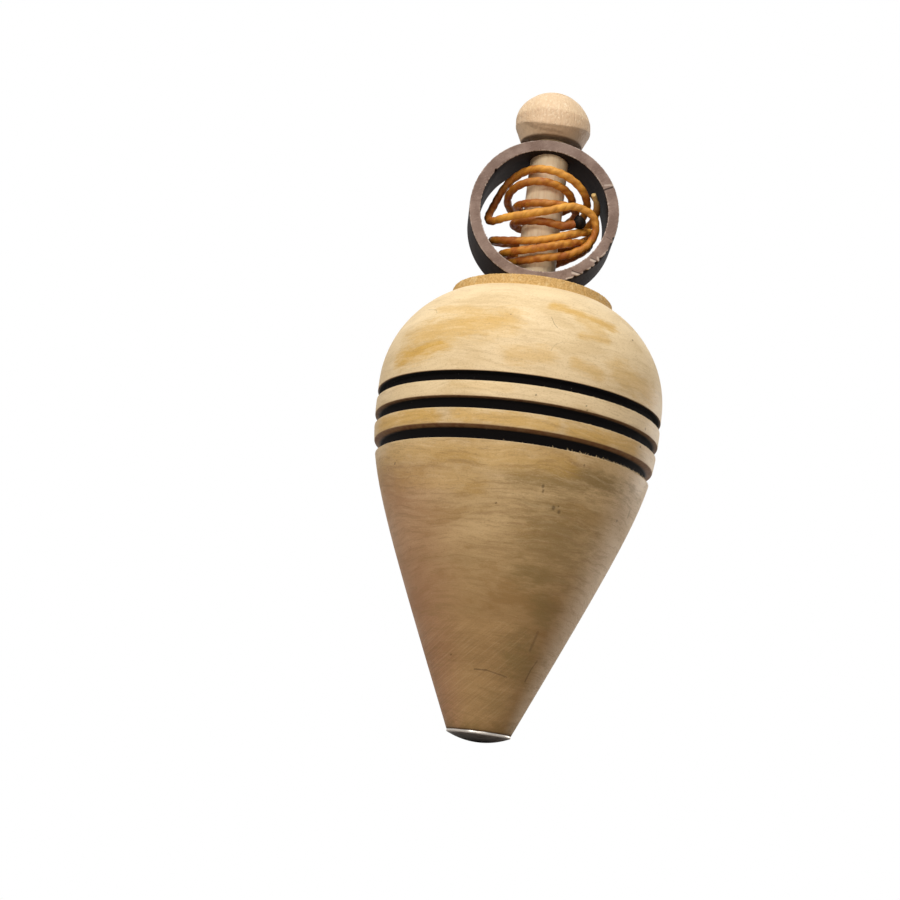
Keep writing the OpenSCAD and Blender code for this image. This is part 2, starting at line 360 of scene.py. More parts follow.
def finished_mesh(piece):
    """Points and faces of a piece with its modifiers."""
    finished = piece.evaluated_get(bpy.context.evaluated_depsgraph_get())
    mesh = finished.to_mesh()
    points = [piece.matrix_world @ v.co for v in mesh.vertices]
    faces = [tuple(p.vertices) for p in mesh.polygons]
    finished.to_mesh_clear()
    return points, faces


def on_piece(piece, name):
    """Place on a piece's finished surface that shows at the named image point. A ray that
    misses takes the place on the surface nearest the ray."""
    start, ray = image_ray(*IMAGE_POINTS[name])
    points, faces = finished_mesh(piece)
    tree = BVHTree.FromPolygons(points, faces)
    hit = tree.ray_cast(start, ray)[0]
    if hit is None:
        tries = [start + ray * d for d in np.linspace(0.2, 0.4, 201)]
        found = [(t - tree.find_nearest(t)[0]).length for t in tries]
        hit = tree.find_nearest(tries[int(np.argmin(found))])[0]
    return hit


# ---------------------------------------------------------------- shader nodes

class Nodes:
    """Adds nodes to one shader tree; its calls hand back the new node's output."""

    def __init__(self, tree):
        self.tree = tree

    def feed(self, socket, value):
        if isinstance(value, bpy.types.NodeSocket):
            self.tree.links.new(value, socket)
        elif value is not None:
            socket.default_value = value

    def add(self, kind, inputs=None, **settings):
        node = self.tree.nodes.new("ShaderNode" + kind)
        for key, value in settings.items():
            setattr(node, key, value)
        for key, value in (inputs or {}).items():
            self.feed(node.inputs[key], value)
        return node

    def sum(self, what, a, b=None, clamp=False):
        return self.add("Math", {0: a, 1: b}, operation=what, use_clamp=clamp).outputs[0]

    def times(self, a, b):
        return self.sum("MULTIPLY", a, b)

    def plus(self, a, b):
        return self.sum("ADD", a, b)

    def less(self, a, b):
        return self.sum("SUBTRACT", a, b)

    def vector(self, what, a, b=None, scale=None):
        second = {1: b} if scale is None else {"Scale": scale}
        node = self.add("VectorMath", {0: a, **second}, operation=what)
        return node.outputs["Value" if what in ("LENGTH", "DOT_PRODUCT") else 0]

    def noise(self, at, scale, detail=3.0, rough=0.5, squash=None):
        """Noise, with the axes of its place squashed by the given factors first."""
        if squash:
            at = self.vector("MULTIPLY", at, squash)
        return self.add("TexNoise", {"Vector": at, "Scale": scale, "Detail": detail,
                                     "Roughness": rough}).outputs[0]

    def between(self, value, low, high, out_low=0.0, out_high=1.0):
        """Smooth rise from out_low to out_high while the value runs from low to high."""
        return self.add("MapRange", {"Value": value, "From Min": low, "From Max": high,
                                     "To Min": out_low, "To Max": out_high},
                        interpolation_type="SMOOTHSTEP").outputs[0]

    def mix(self, share, a, b, kind="MIX"):
        node = self.add("Mix", data_type="RGBA", blend_type=kind)
        for index, value in ((0, share), (6, a), (7, b)):
            if not isinstance(value, (bpy.types.NodeSocket, float, int)):
                value = (*value, 1.0)
            self.feed(node.inputs[index], value)
        return node.outputs[2]

    def tint(self, tone, colour, share, *more):
        """The tone with a colour over it, at the product of the shares."""
        for one in more:
            share = self.times(share, one)
        return self.mix(share, tone, colour)

    def swing(self, value, width):
        """A noise as a swing about zero, width wide."""
        return self.times(self.less(value, 0.5), width)

    def parts(self, vector):
        return self.add("SeparateXYZ", {0: vector}).outputs

    def joined(self, x, y, z):
        return self.add("CombineXYZ", {0: x, 1: y, 2: z}).outputs[0]

    def attribute(self, name):
        return self.add("Attribute", attribute_name=name).outputs["Fac"]

    def position(self):
        return self.add("TexCoord").outputs["Object"]

    def group(self, name, inputs):
        node = self.tree.nodes.new("ShaderNodeGroup")
        node.node_tree = bpy.data.node_groups[name]
        for key, value in inputs.items():
            self.feed(node.inputs[key], value)
        return node.outputs


def new_group(name, inputs, outputs):
    """Empty node group with named inputs and outputs; returns its maker, inputs and end."""
    tree = bpy.data.node_groups.new(name, "ShaderNodeTree")
    for label, kind, value in inputs:
        socket = tree.interface.new_socket(name=label, in_out="INPUT",
                                           socket_type="NodeSocket" + kind)
        if value is not None:
            socket.default_value = value
    for label, kind in outputs:
        tree.interface.new_socket(name=label, in_out="OUTPUT", socket_type="NodeSocket" + kind)
    return Nodes(tree), tree.nodes.new("NodeGroupInput").outputs, tree.nodes.new(
        "NodeGroupOutput").inputs


def new_material(name, surface):
    """Material with a Principled shader; surface holds its sockets' values and links."""
    material = bpy.data.materials.new(name)
    material.use_nodes = True
    nodes = Nodes(material.node_tree)
    shader = material.node_tree.nodes["Principled BSDF"]
    for key, value in surface(nodes).items():
        nodes.feed(shader.inputs[key], value)
    return material


def coat(piece, material):
    """Gives a piece one material in place of those it has."""
    piece.data.materials.clear()
    piece.data.materials.append(material)


def streaks(nodes, flat, torn, tear, lines):
    """Greatest of several streaks' shares. A line is its start, its end, its width and its
    share, in mm and seen along Y."""
    most = 0.0
    for start, end, width, share in lines:
        start, end = (Vector((p[0], 0.0, p[-1])) * MM for p in (start, end))
        mask = nodes.group("Streak", {"Flat": flat, "Torn": torn, "Start": start,
                                      "Line": end - start, "Width": width * MM,
                                      "Tear": tear})["Mask"]
        most = nodes.sum("MAXIMUM", most, nodes.times(mask, share))
    return most


def bump(nodes, height, depth):
    """Normal of a surface whose height runs from 0 to 1 over the given depth in metres."""
    return nodes.add("Bump", {"Height": height, "Distance": depth, "Strength": 1.0}).outputs[0]


def make_groups():
    """Node groups that the materials share."""
    # Streak: 1 near a straight line on the front, seen along Y. Flat is the place with no Y,
    # and Torn a noise that ragged edges share
    g, given, end = new_group("Streak", [
        ("Flat", "Vector", None), ("Torn", "Float", 0.5), ("Start", "Vector", None),
        ("Line", "Vector", None), ("Width", "Float", 0.001), ("Tear", "Float", 0.8)],
        [("Mask", "Float")])
    at = g.vector("SUBTRACT", given["Flat"], given["Start"])
    along = g.sum("DIVIDE", g.vector("DOT_PRODUCT", at, given["Line"]),
                  g.vector("DOT_PRODUCT", given["Line"], given["Line"]), clamp=True)
    away = g.vector("LENGTH",
                    g.vector("SUBTRACT", at, g.vector("SCALE", given["Line"], scale=along)))
    away = g.plus(g.sum("DIVIDE", away, given["Width"]), g.swing(given["Torn"], given["Tear"]))
    g.feed(end["Mask"], g.between(away, 1.0, 0.15))

    # Specks: small dark dots scattered over a surface, on a share of the cells
    g, given, end = new_group("Specks", [
        ("Position", "Vector", None), ("Scale", "Float", 300.0), ("Share", "Float", 0.1)],
        [("Mask", "Float")])
    cell = g.add("TexVoronoi", {"Vector": given["Position"], "Scale": given["Scale"]})
    pick = g.sum("LESS_THAN", g.parts(cell.outputs["Color"])[0], given["Share"])
    size = g.sum("MULTIPLY_ADD", g.parts(cell.outputs["Color"])[1], 0.14)
    size.node.inputs[2].default_value = 0.05
    g.feed(end["Mask"],
           g.times(pick, g.between(cell.outputs["Distance"], size, g.times(size, 0.5))))

    # Turned wood: lathe lines round Z, thin growth arcs in patches, slow clouds, fine grain
    g, given, end = new_group("Turned wood", [
        ("Position", "Vector", None), ("Shift", "Vector", (0.0, 0.0, 0.0))],
        [("Lathe", "Float"), ("Arcs", "Float"), ("Clouds", "Float"), ("Grain", "Float"),
         ("Pores", "Float"), ("Height", "Float")])
    at = g.vector("ADD", given["Position"], given["Shift"])
    slow = g.noise(at, 50.0, 2, 0.5)
    waved = g.vector("ADD", at, g.joined(0.0, 0.0, g.swing(slow, 0.0070)))
    lathe = g.noise(waved, 1500.0, 4, 0.75, squash=(0.09, 0.09, 1.0))
    close = g.noise(at, 230.0, 3, 0.55, squash=(1.0, 1.0, 2.0))
    level = g.plus(g.parts(waved)[2], g.times(close, 0.0018))
    rings = g.sum("SINE", g.times(level, TURN / 0.0014))
    patches = g.noise(waved, 62.0, 2, 0.5, squash=(1.0, 1.0, 1.6))
    grain = g.noise(at, 3300.0, 3, 0.75, squash=(1.0, 1.0, 1.5))
    pores = g.noise(at, 2100.0, 2, 0.5, squash=(0.5, 0.5, 2.2))
    g.feed(end["Lathe"], lathe)
    g.feed(end["Arcs"], g.times(g.between(rings, 0.70, 1.0), g.between(patches, 0.44, 0.62)))
    g.feed(end["Clouds"], g.noise(waved, 78.0, 5, 0.62, squash=(0.8, 0.8, 1.9)))
    g.feed(end["Grain"], grain)
    g.feed(end["Pores"], g.between(pores, 0.66, 0.76))
    g.feed(end["Height"], g.plus(g.times(lathe, 0.55), g.times(grain, 0.45)))


# ---------------------------------------------------------------- stage

def in_view(nodes):
    """1 on the rays of the camera, of reflections and of glass, which show the white stage."""
    path = nodes.add("LightPath").outputs
    return nodes.sum("MAXIMUM", path["Is Camera Ray"],
                     nodes.sum("MAXIMUM", path["Is Glossy Ray"], path["Is Transmission Ray"]))


# Lamps that shine on LAMP_AIM: name, place, width and colour
LAMPS = (("key", (-0.13, -0.44, 0.84), 0.5, (1.0, 0.985, 0.96)),
         ("front", (-0.34, -0.84, 0.30), 0.3, (1.0, 0.98, 0.95)),
         ("rim", (0.56, 0.46, 0.14), 0.35, (1.0, 0.97, 0.93)))
LAMP_AIM = (0, 0, 0.06)


def make_stage(sizes):
    """Camera at the photograph's angle, soft lamps, a pale floor and a white surround."""
    scene = bpy.context.scene
    scene.view_settings.view_transform = "Standard"
    camera = bpy.data.objects.new("camera", bpy.data.cameras.new("camera"))
    scene.collection.objects.link(camera)
    camera.data.lens = sizes.camera_lens
    camera.data.sensor_width = 36.0
    camera.data.sensor_fit = "AUTO"
    camera.data.clip_start, camera.data.clip_end = 0.01, 20.0
    place, aim = Vector(sizes.camera_place), Vector(sizes.camera_aim)
    back = (place - aim).normalized()
    right = Vector((0, 0, 1)).cross(back).normalized()
    level = Matrix((right, back.cross(right), back)).transposed()
    turn = Matrix.Rotation(sizes.camera_roll, 3, "Z")
    camera.matrix_world = Matrix.Translation(place) @ (level @ turn).to_4x4()
    scene.camera = camera

    for name, at, width, tint in LAMPS:
        light = bpy.data.lights.new(name + "_lamp", "AREA")
        light.shape, light.size, light.color = "DISK", width, tint
        light.energy = getattr(sizes, name + "_power")
        lamp = bpy.data.objects.new(name + "_lamp", light)
        lamp.location = at
        lamp.rotation_euler = (Vector(LAMP_AIM) - Vector(at)).to_track_quat(
            "-Z", "Y").to_euler()
        scene.collection.objects.link(lamp)

    world = bpy.data.worlds.new("surround")
    scene.world = world
    world.use_nodes = True
    nodes = Nodes(world.node_tree)
    shown = in_view(nodes)
    strength = nodes.plus(sizes.sky, nodes.times(shown, 1.0 - sizes.sky))
    ground = world.node_tree.nodes["Background"]
    nodes.feed(ground.inputs["Color"], (1.0, 1.0, 1.0, 1.0))
    nodes.feed(ground.inputs["Strength"], strength)

    half = sizes.floor_size / 2
    mesh = bpy.data.meshes.new("floor")
    mesh.from_pydata([(-half, -half, 0), (half, -half, 0), (half, half, 0), (-half, half, 0)],
                     [], [(0, 1, 2, 3)])
    floor = bpy.data.objects.new("floor", mesh)
    scene.collection.objects.link(floor)
    material = bpy.data.materials.new("Pale floor")
    material.use_nodes = True
    tree = material.node_tree
    nodes = Nodes(tree)
    shader = tree.nodes["Principled BSDF"]
    shown = in_view(nodes)
    nodes.feed(shader.inputs["Base Color"], nodes.mix(shown, sizes.bounce, sizes.floor))
    shader.inputs["Roughness"].default_value = 0.8
    # The camera stands just below the floor's level, so the floor's underside is clear
    under = nodes.add("NewGeometry").outputs["Backfacing"]
    clear = nodes.add("BsdfTransparent").outputs[0]
    both = nodes.add("MixShader", {0: under, 1: shader.outputs[0], 2: clear}).outputs[0]
    nodes.feed(tree.nodes["Material Output"].inputs["Surface"], both)
    floor.data.materials.append(material)


# ---------------------------------------------------------------- string

def smooth_route(per_step):
    """The string's line in metres: on each step of the route a cubic between its two points,
    along the directions there, with handles of step / cos^2(turn / 4)."""
    step = np.diff(ROUTE, axis=0)
    size = np.linalg.norm(step, axis=1)[:, None]
    way = step / size
    course = np.vstack((way[:1], way[:-1] * size[1:] + way[1:] * size[:-1], way[-1:]))
    course /= np.linalg.norm(course, axis=1)[:, None]
    turn = np.arccos(np.clip(np.sum(course[:-1] * course[1:], axis=1), -1, 1))[:, None]
    reach = size / np.cos(turn / 4) ** 2
    t = (np.arange(per_step) / per_step)[None, :, None]
    a, b = ROUTE[:-1, None], ROUTE[1:, None]
    line = ((1 + 2 * t) * (1 - t) ** 2 * a + t * (1 - t) ** 2 * (reach * course[:-1])[:, None]
            + t * t * (3 - 2 * t) * b + t * t * (t - 1) * (reach * course[1:])[:, None])
    return np.vstack((line.reshape(-1, 3), ROUTE[-1:])) * MM + np.array(RING_CENTRE)


def even_line(line, step):
    """The same line with its points evenly apart, and each point's distance along it."""
    gone = np.append(0, np.cumsum(np.linalg.norm(np.diff(line, axis=0), axis=1)))
    at = np.linspace(0, gone[-1], int(round(gone[-1] / step)) + 1)
    return np.stack([np.interp(at, gone, line[:, k]) for k in range(3)], -1), at


# Painted shade along the string, strongest where its strands lie in shade: mm along it, and share
STRING_SHADE_TABLE = [(0, 0.7), (10, 0.65), (30, 0.6), (36, 0.5), (46, 0.5), (58, 0.65), (64, 0.35),
          (70, 0.3), (76, 0.65), (100, 0.6), (106, 0.15), (114, 0.0), (119, 0.35), (128, 0.75),
          (134, 0.45), (139, 0.0), (154, 0.0), (160, 0.3), (166, 0.4), (174, 0.35), (182, 0.65),
          (196, 0.6), (201, 0.2), (214, 0.2), (222, 0.65), (238, 0.5), (245, 0.0), (259, 0.1),
          (266, 0.6), (284, 0.5), (299, 0.2)]


PLY_OFFSET = 0.11
PLY_RADIUS = 0.89
STRING_COLUMNS = 16
TAPERED_END = 4 * MM
PALE_END = 5 * MM


def make_string(sizes):
    """Two waxed plies twisted together. Across a string of radius R each ply is a circle of
    radius q R, set p R off the middle, so at the angle w from the plies' line the surface lies
    R (p |cos w| + sqrt(q^2 - p^2 sin^2 w)) away; that line turns once a lay."""
    line, gone = even_line(smooth_route(24), sizes.step)
    course = np.gradient(line, axis=0)
    course /= np.linalg.norm(course, axis=1)[:, None]
    side = np.cross(course, line - np.array(RING_CENTRE))
    side /= np.linalg.norm(side, axis=1)[:, None]
    up = np.cross(side, course)
    columns = STRING_COLUMNS
    w = TURN * np.arange(columns) / columns
    reach = PLY_OFFSET * np.abs(np.cos(w)) + np.sqrt(
        PLY_RADIUS ** 2 - (PLY_OFFSET * np.sin(w)) ** 2)
    knots = np.random.default_rng(5).normal(size=400)
    uneven = 1 - 0.03 * np.abs(np.interp(gone, np.linspace(0, gone[-1], len(knots)), knots))
    left = gone[-1] - gone
    taper = 0.62 + 0.38 * smooth_step((left - 0.5 * MM) / TAPERED_END)
    radius = (sizes.thickness / 2 * uneven * taper)[:, None] * reach
    angle = w + TURN * gone[:, None] / sizes.pitch
    points = (line[:, None] + radius[..., None] * (np.cos(angle)[..., None] * side[:, None]
                                                   + np.sin(angle)[..., None] * up[:, None]))
    rows = len(line)
    flat = np.vstack((points.reshape(-1, 3), line[:1], line[-1:]))
    grid = np.ones((rows, columns))
    soaked = np.interp(gone / MM, *np.array(STRING_SHADE_TABLE).T)
    values = {"along": np.append(grid * gone[:, None], (0, gone[-1])),
              "soaked": np.append(grid * soaked[:, None], (soaked[0], soaked[-1])),
              "ply": np.append(grid * w, (0, 0)),
              "crevice": np.append(grid * (1 - reach) / (1 - reach.min()), (0, 0)),
              "cut_end": np.append(grid * smooth_step(1 - left / PALE_END)[:, None], (0, 1))}
    piece = build_mesh("waxed_string", flat, [grid_faces(rows, columns),
                                              *end_faces(rows, columns)], values)

    def surface(n):
        along, ply = n.attribute("along"), n.attribute("ply")
        crevice, cut = n.attribute("crevice"), n.attribute("cut_end")
        turn = n.plus(n.times(ply, 5.0), n.times(along, 700.0))
        fibres = n.noise(n.joined(turn, n.times(along, 420.0), 0.0), 1.0, 4, 0.65)
        dye = n.noise(n.position(), 330.0, 3, 0.55)
        tone = n.mix(n.between(dye, 0.42, 0.62), sizes.wax, (0.42, 0.125, 0.011))
        tone = n.tint(tone, (0.98, 0.60, 0.15), n.between(fibres, 0.52, 0.78), 0.55)
        tone = n.tint(tone, sizes.deep, n.between(fibres, 0.46, 0.28), 0.40)
        # Painted shade: the crevices between the plies are darkened with the deep orange
        tone = n.tint(tone, sizes.deep, crevice, 0.28)
        soaked = n.attribute("soaked")
        # Painted light and shade: strands in shade turn dark red-brown, and the rest a paler gold
        tone = n.tint(tone, (0.93, 0.50, 0.085), n.between(soaked, 0.25, 0.0, 0.0, 0.35))
        tone = n.tint(tone, (0.24, 0.052, 0.006), soaked)
        tone = n.tint(tone, sizes.cut, cut)
        height = n.plus(n.times(fibres, 0.8), n.times(crevice, -0.2))
        return {"Base Color": tone, "Roughness": n.between(dye, 0.2, 0.8, 0.36, 0.55),
                "Normal": bump(n, height, 0.00010), "Specular IOR Level": 0.28}

    coat(piece, new_material("Waxed string", surface))
    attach(piece, "string")
    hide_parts("pull_string")
    knot = make_knot(sizes)


def make_knot(sizes):
    """Melted drop on the string's end: a ball whose radius swells and sinks by a few sines of
    its two angles."""
    rows, columns = 30, 48
    b = (np.arange(rows)[:, None] + 1) / (rows + 1) * math.pi
    a = TURN * np.arange(columns) / columns
    swell = (1 + 0.07 * np.sin(3 * a + 1) * np.sin(b) + 0.05 * np.sin(2 * b + 2 * a)
             + 0.03 * np.cos(5 * a) * np.sin(b) ** 2)
    r = sizes.knot_d / 2 * swell * np.sin(b)
    z = sizes.knot_d / 2 * -swell * np.cos(b)
    centre = np.array(RING_CENTRE) + ROUTE[0] * MM
    piece = turned("melted_drop", r, z, -sizes.knot_d / 2, sizes.knot_d / 2)
    piece.data.transform(Matrix.Translation(Vector(centre)))

    def surface(n):
        lumps = n.noise(n.position(), 1400.0, 3, 0.5)
        return {"Base Color": n.mix(n.between(lumps, 0.5, 0.75), (0.004, 0.003, 0.002),
                                    (0.020, 0.010, 0.006)),
                "Roughness": n.between(lumps, 0.3, 0.7, 0.35, 0.6),
                "Normal": bump(n, lumps, 0.0002), "Specular IOR Level": 0.12}

    coat(piece, new_material("Melted end", surface))
    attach(piece, "string")
    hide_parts("melted_knot")
    return piece


# ---------------------------------------------------------------- turned body

def flank_radius(sizes):
    """Heights and radii of the flank: the cubic (1-t)^3 A + 3 (1-t)^2 t B + 3 (1-t) t^2 C
    + t^3 D from the nose A to the belly D, with B and C pulled towards the flank's corner."""
    nose = np.array((sizes.cap_d / 2, BODY_LOW.z))
    belly = np.array((BODY_HIGH.x, sizes.belly_h))
    corner = np.array((BODY_HIGH.x, sizes.corner_h))
    b = nose + sizes.flank_pull * (corner - nose)
    c = belly + sizes.flank_pull * (corner - belly)
    t = np.linspace(0, 1, 200)[:, None]
    line = ((1 - t) ** 3 * nose + 3 * (1 - t) ** 2 * t * b + 3 * (1 - t) * t * t * c
            + t ** 3 * belly)
    return line[:, 1], line[:, 0]


CONE_ROWS = 66
BAND_ROWS = 7


def body_profile(sizes):
    """Rows of the body from the nail's hole out over the nose, up the flank and its grooves,
    over the shoulder and the collar and down the socket. A row is r, z and four weights:
    burnt, toasted wall, torn lip and collar."""
    heights, radii = flank_radius(sizes)
    rows = []

    def put(points, burnt=0.0, wall=0.0, lip=0.0, collar=0.0):
        rows.extend((r, z, burnt, wall, lip, collar) for r, z in np.atleast_2d(points))

    def flank(start, end, count):
        z = np.linspace(start, end, count)
        put(np.stack((np.interp(z, heights, radii), z), -1))

    nail_top = NAIL_HIGH.z + 0.2 * MM
    put([(NAIL_HOLE_R, nail_top), (NAIL_HOLE_R, BODY_LOW.z),
         (sizes.cap_d / 2 - 0.1 * MM, BODY_LOW.z)])
    low = BODY_LOW.z + 0.08 * MM
    soft = 0.12 * MM
    count = CONE_ROWS
    grooves = list(zip(sizes.groove_drops, sizes.groove_flares, (0.8, 0.35, 0.0)))
    for drop, flare, scorch in reversed(grooves):
        under, over = (sizes.belly_h - drop + s * sizes.groove_w / 2 for s in (-1, 1))
        floor = np.interp((under + over) / 2, heights, radii) - sizes.groove_depth
        lip, top = (np.interp(z, heights, radii) for z in (under, over + flare))
        flank(low, under - soft, count)
        put([(lip - 0.01 * MM, under - 0.04 * MM)], lip=0.9)
        put([(lip - 0.07 * MM, under)], burnt=0.25, lip=1.0)
        put([(lip - 0.25 * MM, under + 0.01 * MM)], burnt=1.0, lip=0.7)
        put([(floor + soft, under), (floor, under + soft)], burnt=1.0, lip=0.1)
        put([(floor, (under + over) / 2), (floor, over - soft)], burnt=1.0)
        for share, char in ((0.09, 0.9), (0.3, 0.5 + 0.5 * scorch), (0.6, scorch),
                            (0.85, 0.5 * scorch), (0.97, 0.2 * scorch)):
            put([(floor + share * (top - floor), over + share * flare)], burnt=char, wall=1.0)
        put([(top - 0.01 * MM, over + flare + 0.06 * MM)], wall=0.35)
        low, count = over + flare + soft, BAND_ROWS
    flank(low, sizes.belly_h, 6)
    middle = BODY_HIGH.x - sizes.shoulder_r
    turn = math.acos((sizes.ledge_d / 2 - middle) / sizes.shoulder_r)
    put(arc((middle, sizes.belly_h), sizes.shoulder_r, 0, turn, 40)[1:])
    top = BODY_HIGH.z
    foot = top - sizes.collar_h
    put([(sizes.ledge_d / 2, sizes.belly_h + sizes.shoulder_r * math.sin(turn))])
    put([(sizes.collar_d / 2 + 0.04 * MM, foot - 0.02 * MM)], collar=0.3)
    put(stretch((sizes.collar_d / 2 - 0.01 * MM, foot + 0.08 * MM),
                (sizes.collar_top_d / 2 + 0.01 * MM, top - 0.08 * MM), 10), collar=1.0)
    put([(sizes.collar_top_d / 2, top - 0.05 * MM)], collar=1.0)
    put([(sizes.collar_top_d / 2 - 0.08 * MM, top)], collar=0.9)
    put(stretch((sizes.collar_top_d / 2 - 0.4 * MM, top), (SOCKET_R, top), 8), collar=0.6)
    put([(SOCKET_R, top - 0.1 * MM), (SOCKET_R, SPINDLE_LOW.z)], collar=0.5)
    return np.array(rows), nail_top


OUT_OF_ROUND = 0.03 * MM
LOWEST_TEETH, OTHER_TEETH = 0.09 * MM, 0.04 * MM
COLLAR_CRUMBS, COLLAR_WAVES = 0.03 * MM, 0.02 * MM


def make_body(sizes):
    """Turned body with burnt grooves. To the profile's r and z it adds a slow out-of-round,
    torn upward teeth on the grooves' lower lips and a rough collar."""
    rows, nail_top = body_profile(sizes)
    n = sizes.around
    r, z = carried_round(rows, n)
    burnt, wall, lip, collar = (rows[:, k:k + 1] for k in range(2, 6))
    outside = ((rows[:, 0:1] > 4 * MM) & (rows[:, 1:2] > BODY_LOW.z + 1 * MM)).astype(float)
    r += outside * OUT_OF_ROUND * round_line(1, n, 2, 5)
    right = 0.15 + near_angle(n, math.radians(-38), math.radians(70))
    for k, start in enumerate(np.flatnonzero(np.diff((lip[:, 0] > 0.8).astype(int)) == 1)):
        teeth = np.clip(round_line(10 + k, n, 60, 270) * 0.7 + 0.1, 0, 2.0)
        block = slice(start, start + 6)
        torn = (LOWEST_TEETH if k == 0 else OTHER_TEETH) * teeth * right
        z[block] += lip[block] * (torn + 0.02 * MM)
    rough = COLLAR_CRUMBS * round_line(31, n, 60, 270) + COLLAR_WAVES * round_line(32, n, 5, 40)
    edge = collar * (rows[:, 0:1] > 12 * MM)
    height = np.clip((rows[:, 1:2] - (BODY_HIGH.z - sizes.collar_h)) / sizes.collar_h, 0, 1)
    r += edge * rough * (0.5 + 0.6 * height)
    z += edge * (height > 0.8) * COLLAR_WAVES * (round_line(33, n, 40, 260) - 1)
    piece = turned("turned_body", r, z, nail_top, SPINDLE_LOW.z,
                   {"burnt": burnt, "toasted": wall, "lip": lip, "collar": collar})
    piece.data.set_sharp_from_angle(angle=math.radians(50))
    stains, shades, dots, scratches = body_marks(piece)
    mark_body(piece, stains, shades)
    fibres = make_fibres(sizes)
    material = body_material(sizes, dots, scratches)
    coat(piece, material)
    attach(piece, "spinner")
    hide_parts("top_body")
    coat(fibres, material)
    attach(fibres, "spinner")


def make_fibres(sizes):
    """Torn wood fibres on the grooves' lower lips. Each is a thin spike with a three-sided
    foot on the lip, and its tip is the foot's middle plus a height and a lean."""
    rng = np.random.default_rng(21)
    count = sizes.fibre_count
    heights, radii = flank_radius(sizes)
    which = rng.choice(3, count, p=(0.10, 0.12, 0.78))
    crowd = rng.random(count)
    a = np.where(crowd < 0.75, rng.normal(math.radians(-36), 0.38, count),
                 rng.uniform(-math.pi, math.pi, count))
    z = sizes.belly_h - np.array(sizes.groove_drops)[which] - sizes.groove_w / 2
    r = np.interp(z, heights, radii) - rng.uniform(0.03, 0.25, count) * MM
    tall = np.minimum(rng.gamma(2.0, 0.075, count), 0.45) * MM
    tall *= np.where((which == 2) & (crowd < 0.75), 1.25, 0.5)
    wide = rng.uniform(0.03, 0.08, count) * MM
    lean = rng.normal(0, 0.4, count) * tall
    out = np.stack((np.cos(a), np.sin(a), 0 * a), -1)
    on = np.stack((-np.sin(a), np.cos(a), 0 * a), -1)
    up = np.array((0, 0, 1.0))
    foot = out * r[:, None] + up * (z - 0.06 * MM)[:, None]
    tip = foot + up * (tall + 0.06 * MM)[:, None] + on * lean[:, None] + out * (
        rng.uniform(-0.2, 0.15, count) * MM)[:, None]
    w = wide[:, None]
    points = np.stack((foot - on * w, foot + on * w, foot + out * w * 1.2, tip), 1)
    base = 4 * np.arange(count)[:, None, None]
    faces = (base + np.array([(0, 2, 1), (0, 1, 3), (1, 2, 3), (2, 0, 3)])).reshape(-1, 3)
    zero = np.zeros(count * 4)
    return build_mesh("torn_fibres", points.reshape(-1, 3), [faces],
                      {"burnt": zero, "toasted": zero, "lip": zero + 1, "collar": zero})


